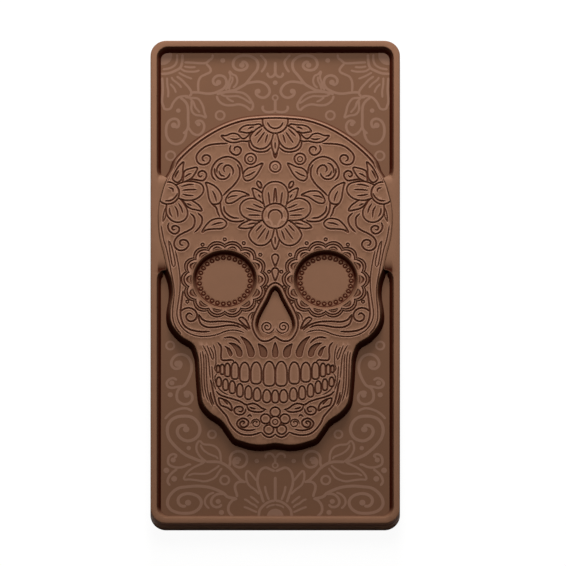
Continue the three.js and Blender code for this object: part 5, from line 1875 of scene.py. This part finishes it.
def stage_world(scene):
    """A white room that the camera sees and that hardly lights the tablet."""
    world = bpy.data.worlds.new("soft_room")
    scene.world = world
    world.use_nodes = True
    tree = world.node_tree
    path = add_node(tree, "ShaderNodeLightPath")
    glow = maths(tree, "MULTIPLY_ADD", path.outputs["Is Camera Ray"], 0.95, 0.03)
    fill(tree, tree.nodes["Background"], {"Strength": glow, "Color": (1, 1, 1, 1)})


def stage_lamp(scene, name, place, size, power):
    """A round soft lamp. Its size is in metres and its power in watts."""
    light = bpy.data.lights.new(name, "AREA")
    light.shape, light.size, light.energy, light.color = "DISK", size, power, (1, 0.97, 0.94)
    item = bpy.data.objects.new(name, light)
    scene.collection.objects.link(item)
    item.location = place
    item.rotation_euler = (LAMP_AIM - Vector(place)).to_track_quat("-Z", "Y").to_euler()


def stage_camera(scene):
    """The camera, tilted as in the photograph and without perspective."""
    tilt = math.radians(CAMERA_TILT)
    camera = bpy.data.objects.new("camera", bpy.data.cameras.new("camera"))
    scene.collection.objects.link(camera)
    camera.data.type = "ORTHO"
    camera.data.ortho_scale = CAMERA_SCALE
    back = Vector((0, -math.cos(tilt), math.sin(tilt)))
    camera.location = CAMERA_TARGET + back * CAMERA_DISTANCE
    camera.rotation_euler = (-back).to_track_quat("-Z", "Y").to_euler()
    scene.camera = camera


class TABLET_OT_stage(bpy.types.Operator):
    """Makes the plain floor, the soft lights and the camera"""
    bl_idname = "tablet.stage"
    bl_label = "Floor, lights and camera"

    def execute(self, context):
        scene = context.scene
        stage_floor(scene)
        stage_world(scene)
        for name, place, size, power in LAMPS:
            stage_lamp(scene, name, place, size, power)
        stage_camera(scene)
        scene.view_settings.view_transform = "Standard"
        return {"FINISHED"}


class TABLET_PT_panel(bpy.types.Panel):
    """Lists the tablet's sizes, colours and steps."""
    bl_idname = "TABLET_PT_panel"
    bl_label = "Sugar skull tablet"
    bl_space_type = "VIEW_3D"
    bl_region_type = "UI"
    bl_category = "Tablet"

    def draw(self, context):
        for group in (context.scene.tablet_sizes, context.scene.tablet_colours):
            for name in group.bl_rna.properties.keys():
                if name not in ("rna_type", "name"):
                    self.layout.prop(group, name)
        for step in STEPS:
            self.layout.operator(step.bl_idname)


STEPS = (TABLET_OT_slab, TABLET_OT_rim, TABLET_OT_skull, TABLET_OT_ornaments, TABLET_OT_eyes, TABLET_OT_nose,
         TABLET_OT_pattern, TABLET_OT_stage)
CLASSES = (TabletSizes, TabletColours, *STEPS, TABLET_PT_panel)


def register():
    for item in CLASSES:
        bpy.utils.register_class(item)
    bpy.types.Scene.tablet_sizes = bpy.props.PointerProperty(type=TabletSizes)
    bpy.types.Scene.tablet_colours = bpy.props.PointerProperty(type=TabletColours)


def unregister():
    del bpy.types.Scene.tablet_sizes
    del bpy.types.Scene.tablet_colours
    for item in reversed(CLASSES):
        bpy.utils.unregister_class(item)


def main():
    register()
    bpy.ops.tablet.slab()
    bpy.ops.tablet.rim()
    bpy.ops.tablet.skull()
    bpy.ops.tablet.ornaments()
    bpy.ops.tablet.eyes()
    bpy.ops.tablet.nose()
    bpy.ops.tablet.pattern()
    bpy.ops.tablet.stage()


if __name__ == "__main__":
    main()
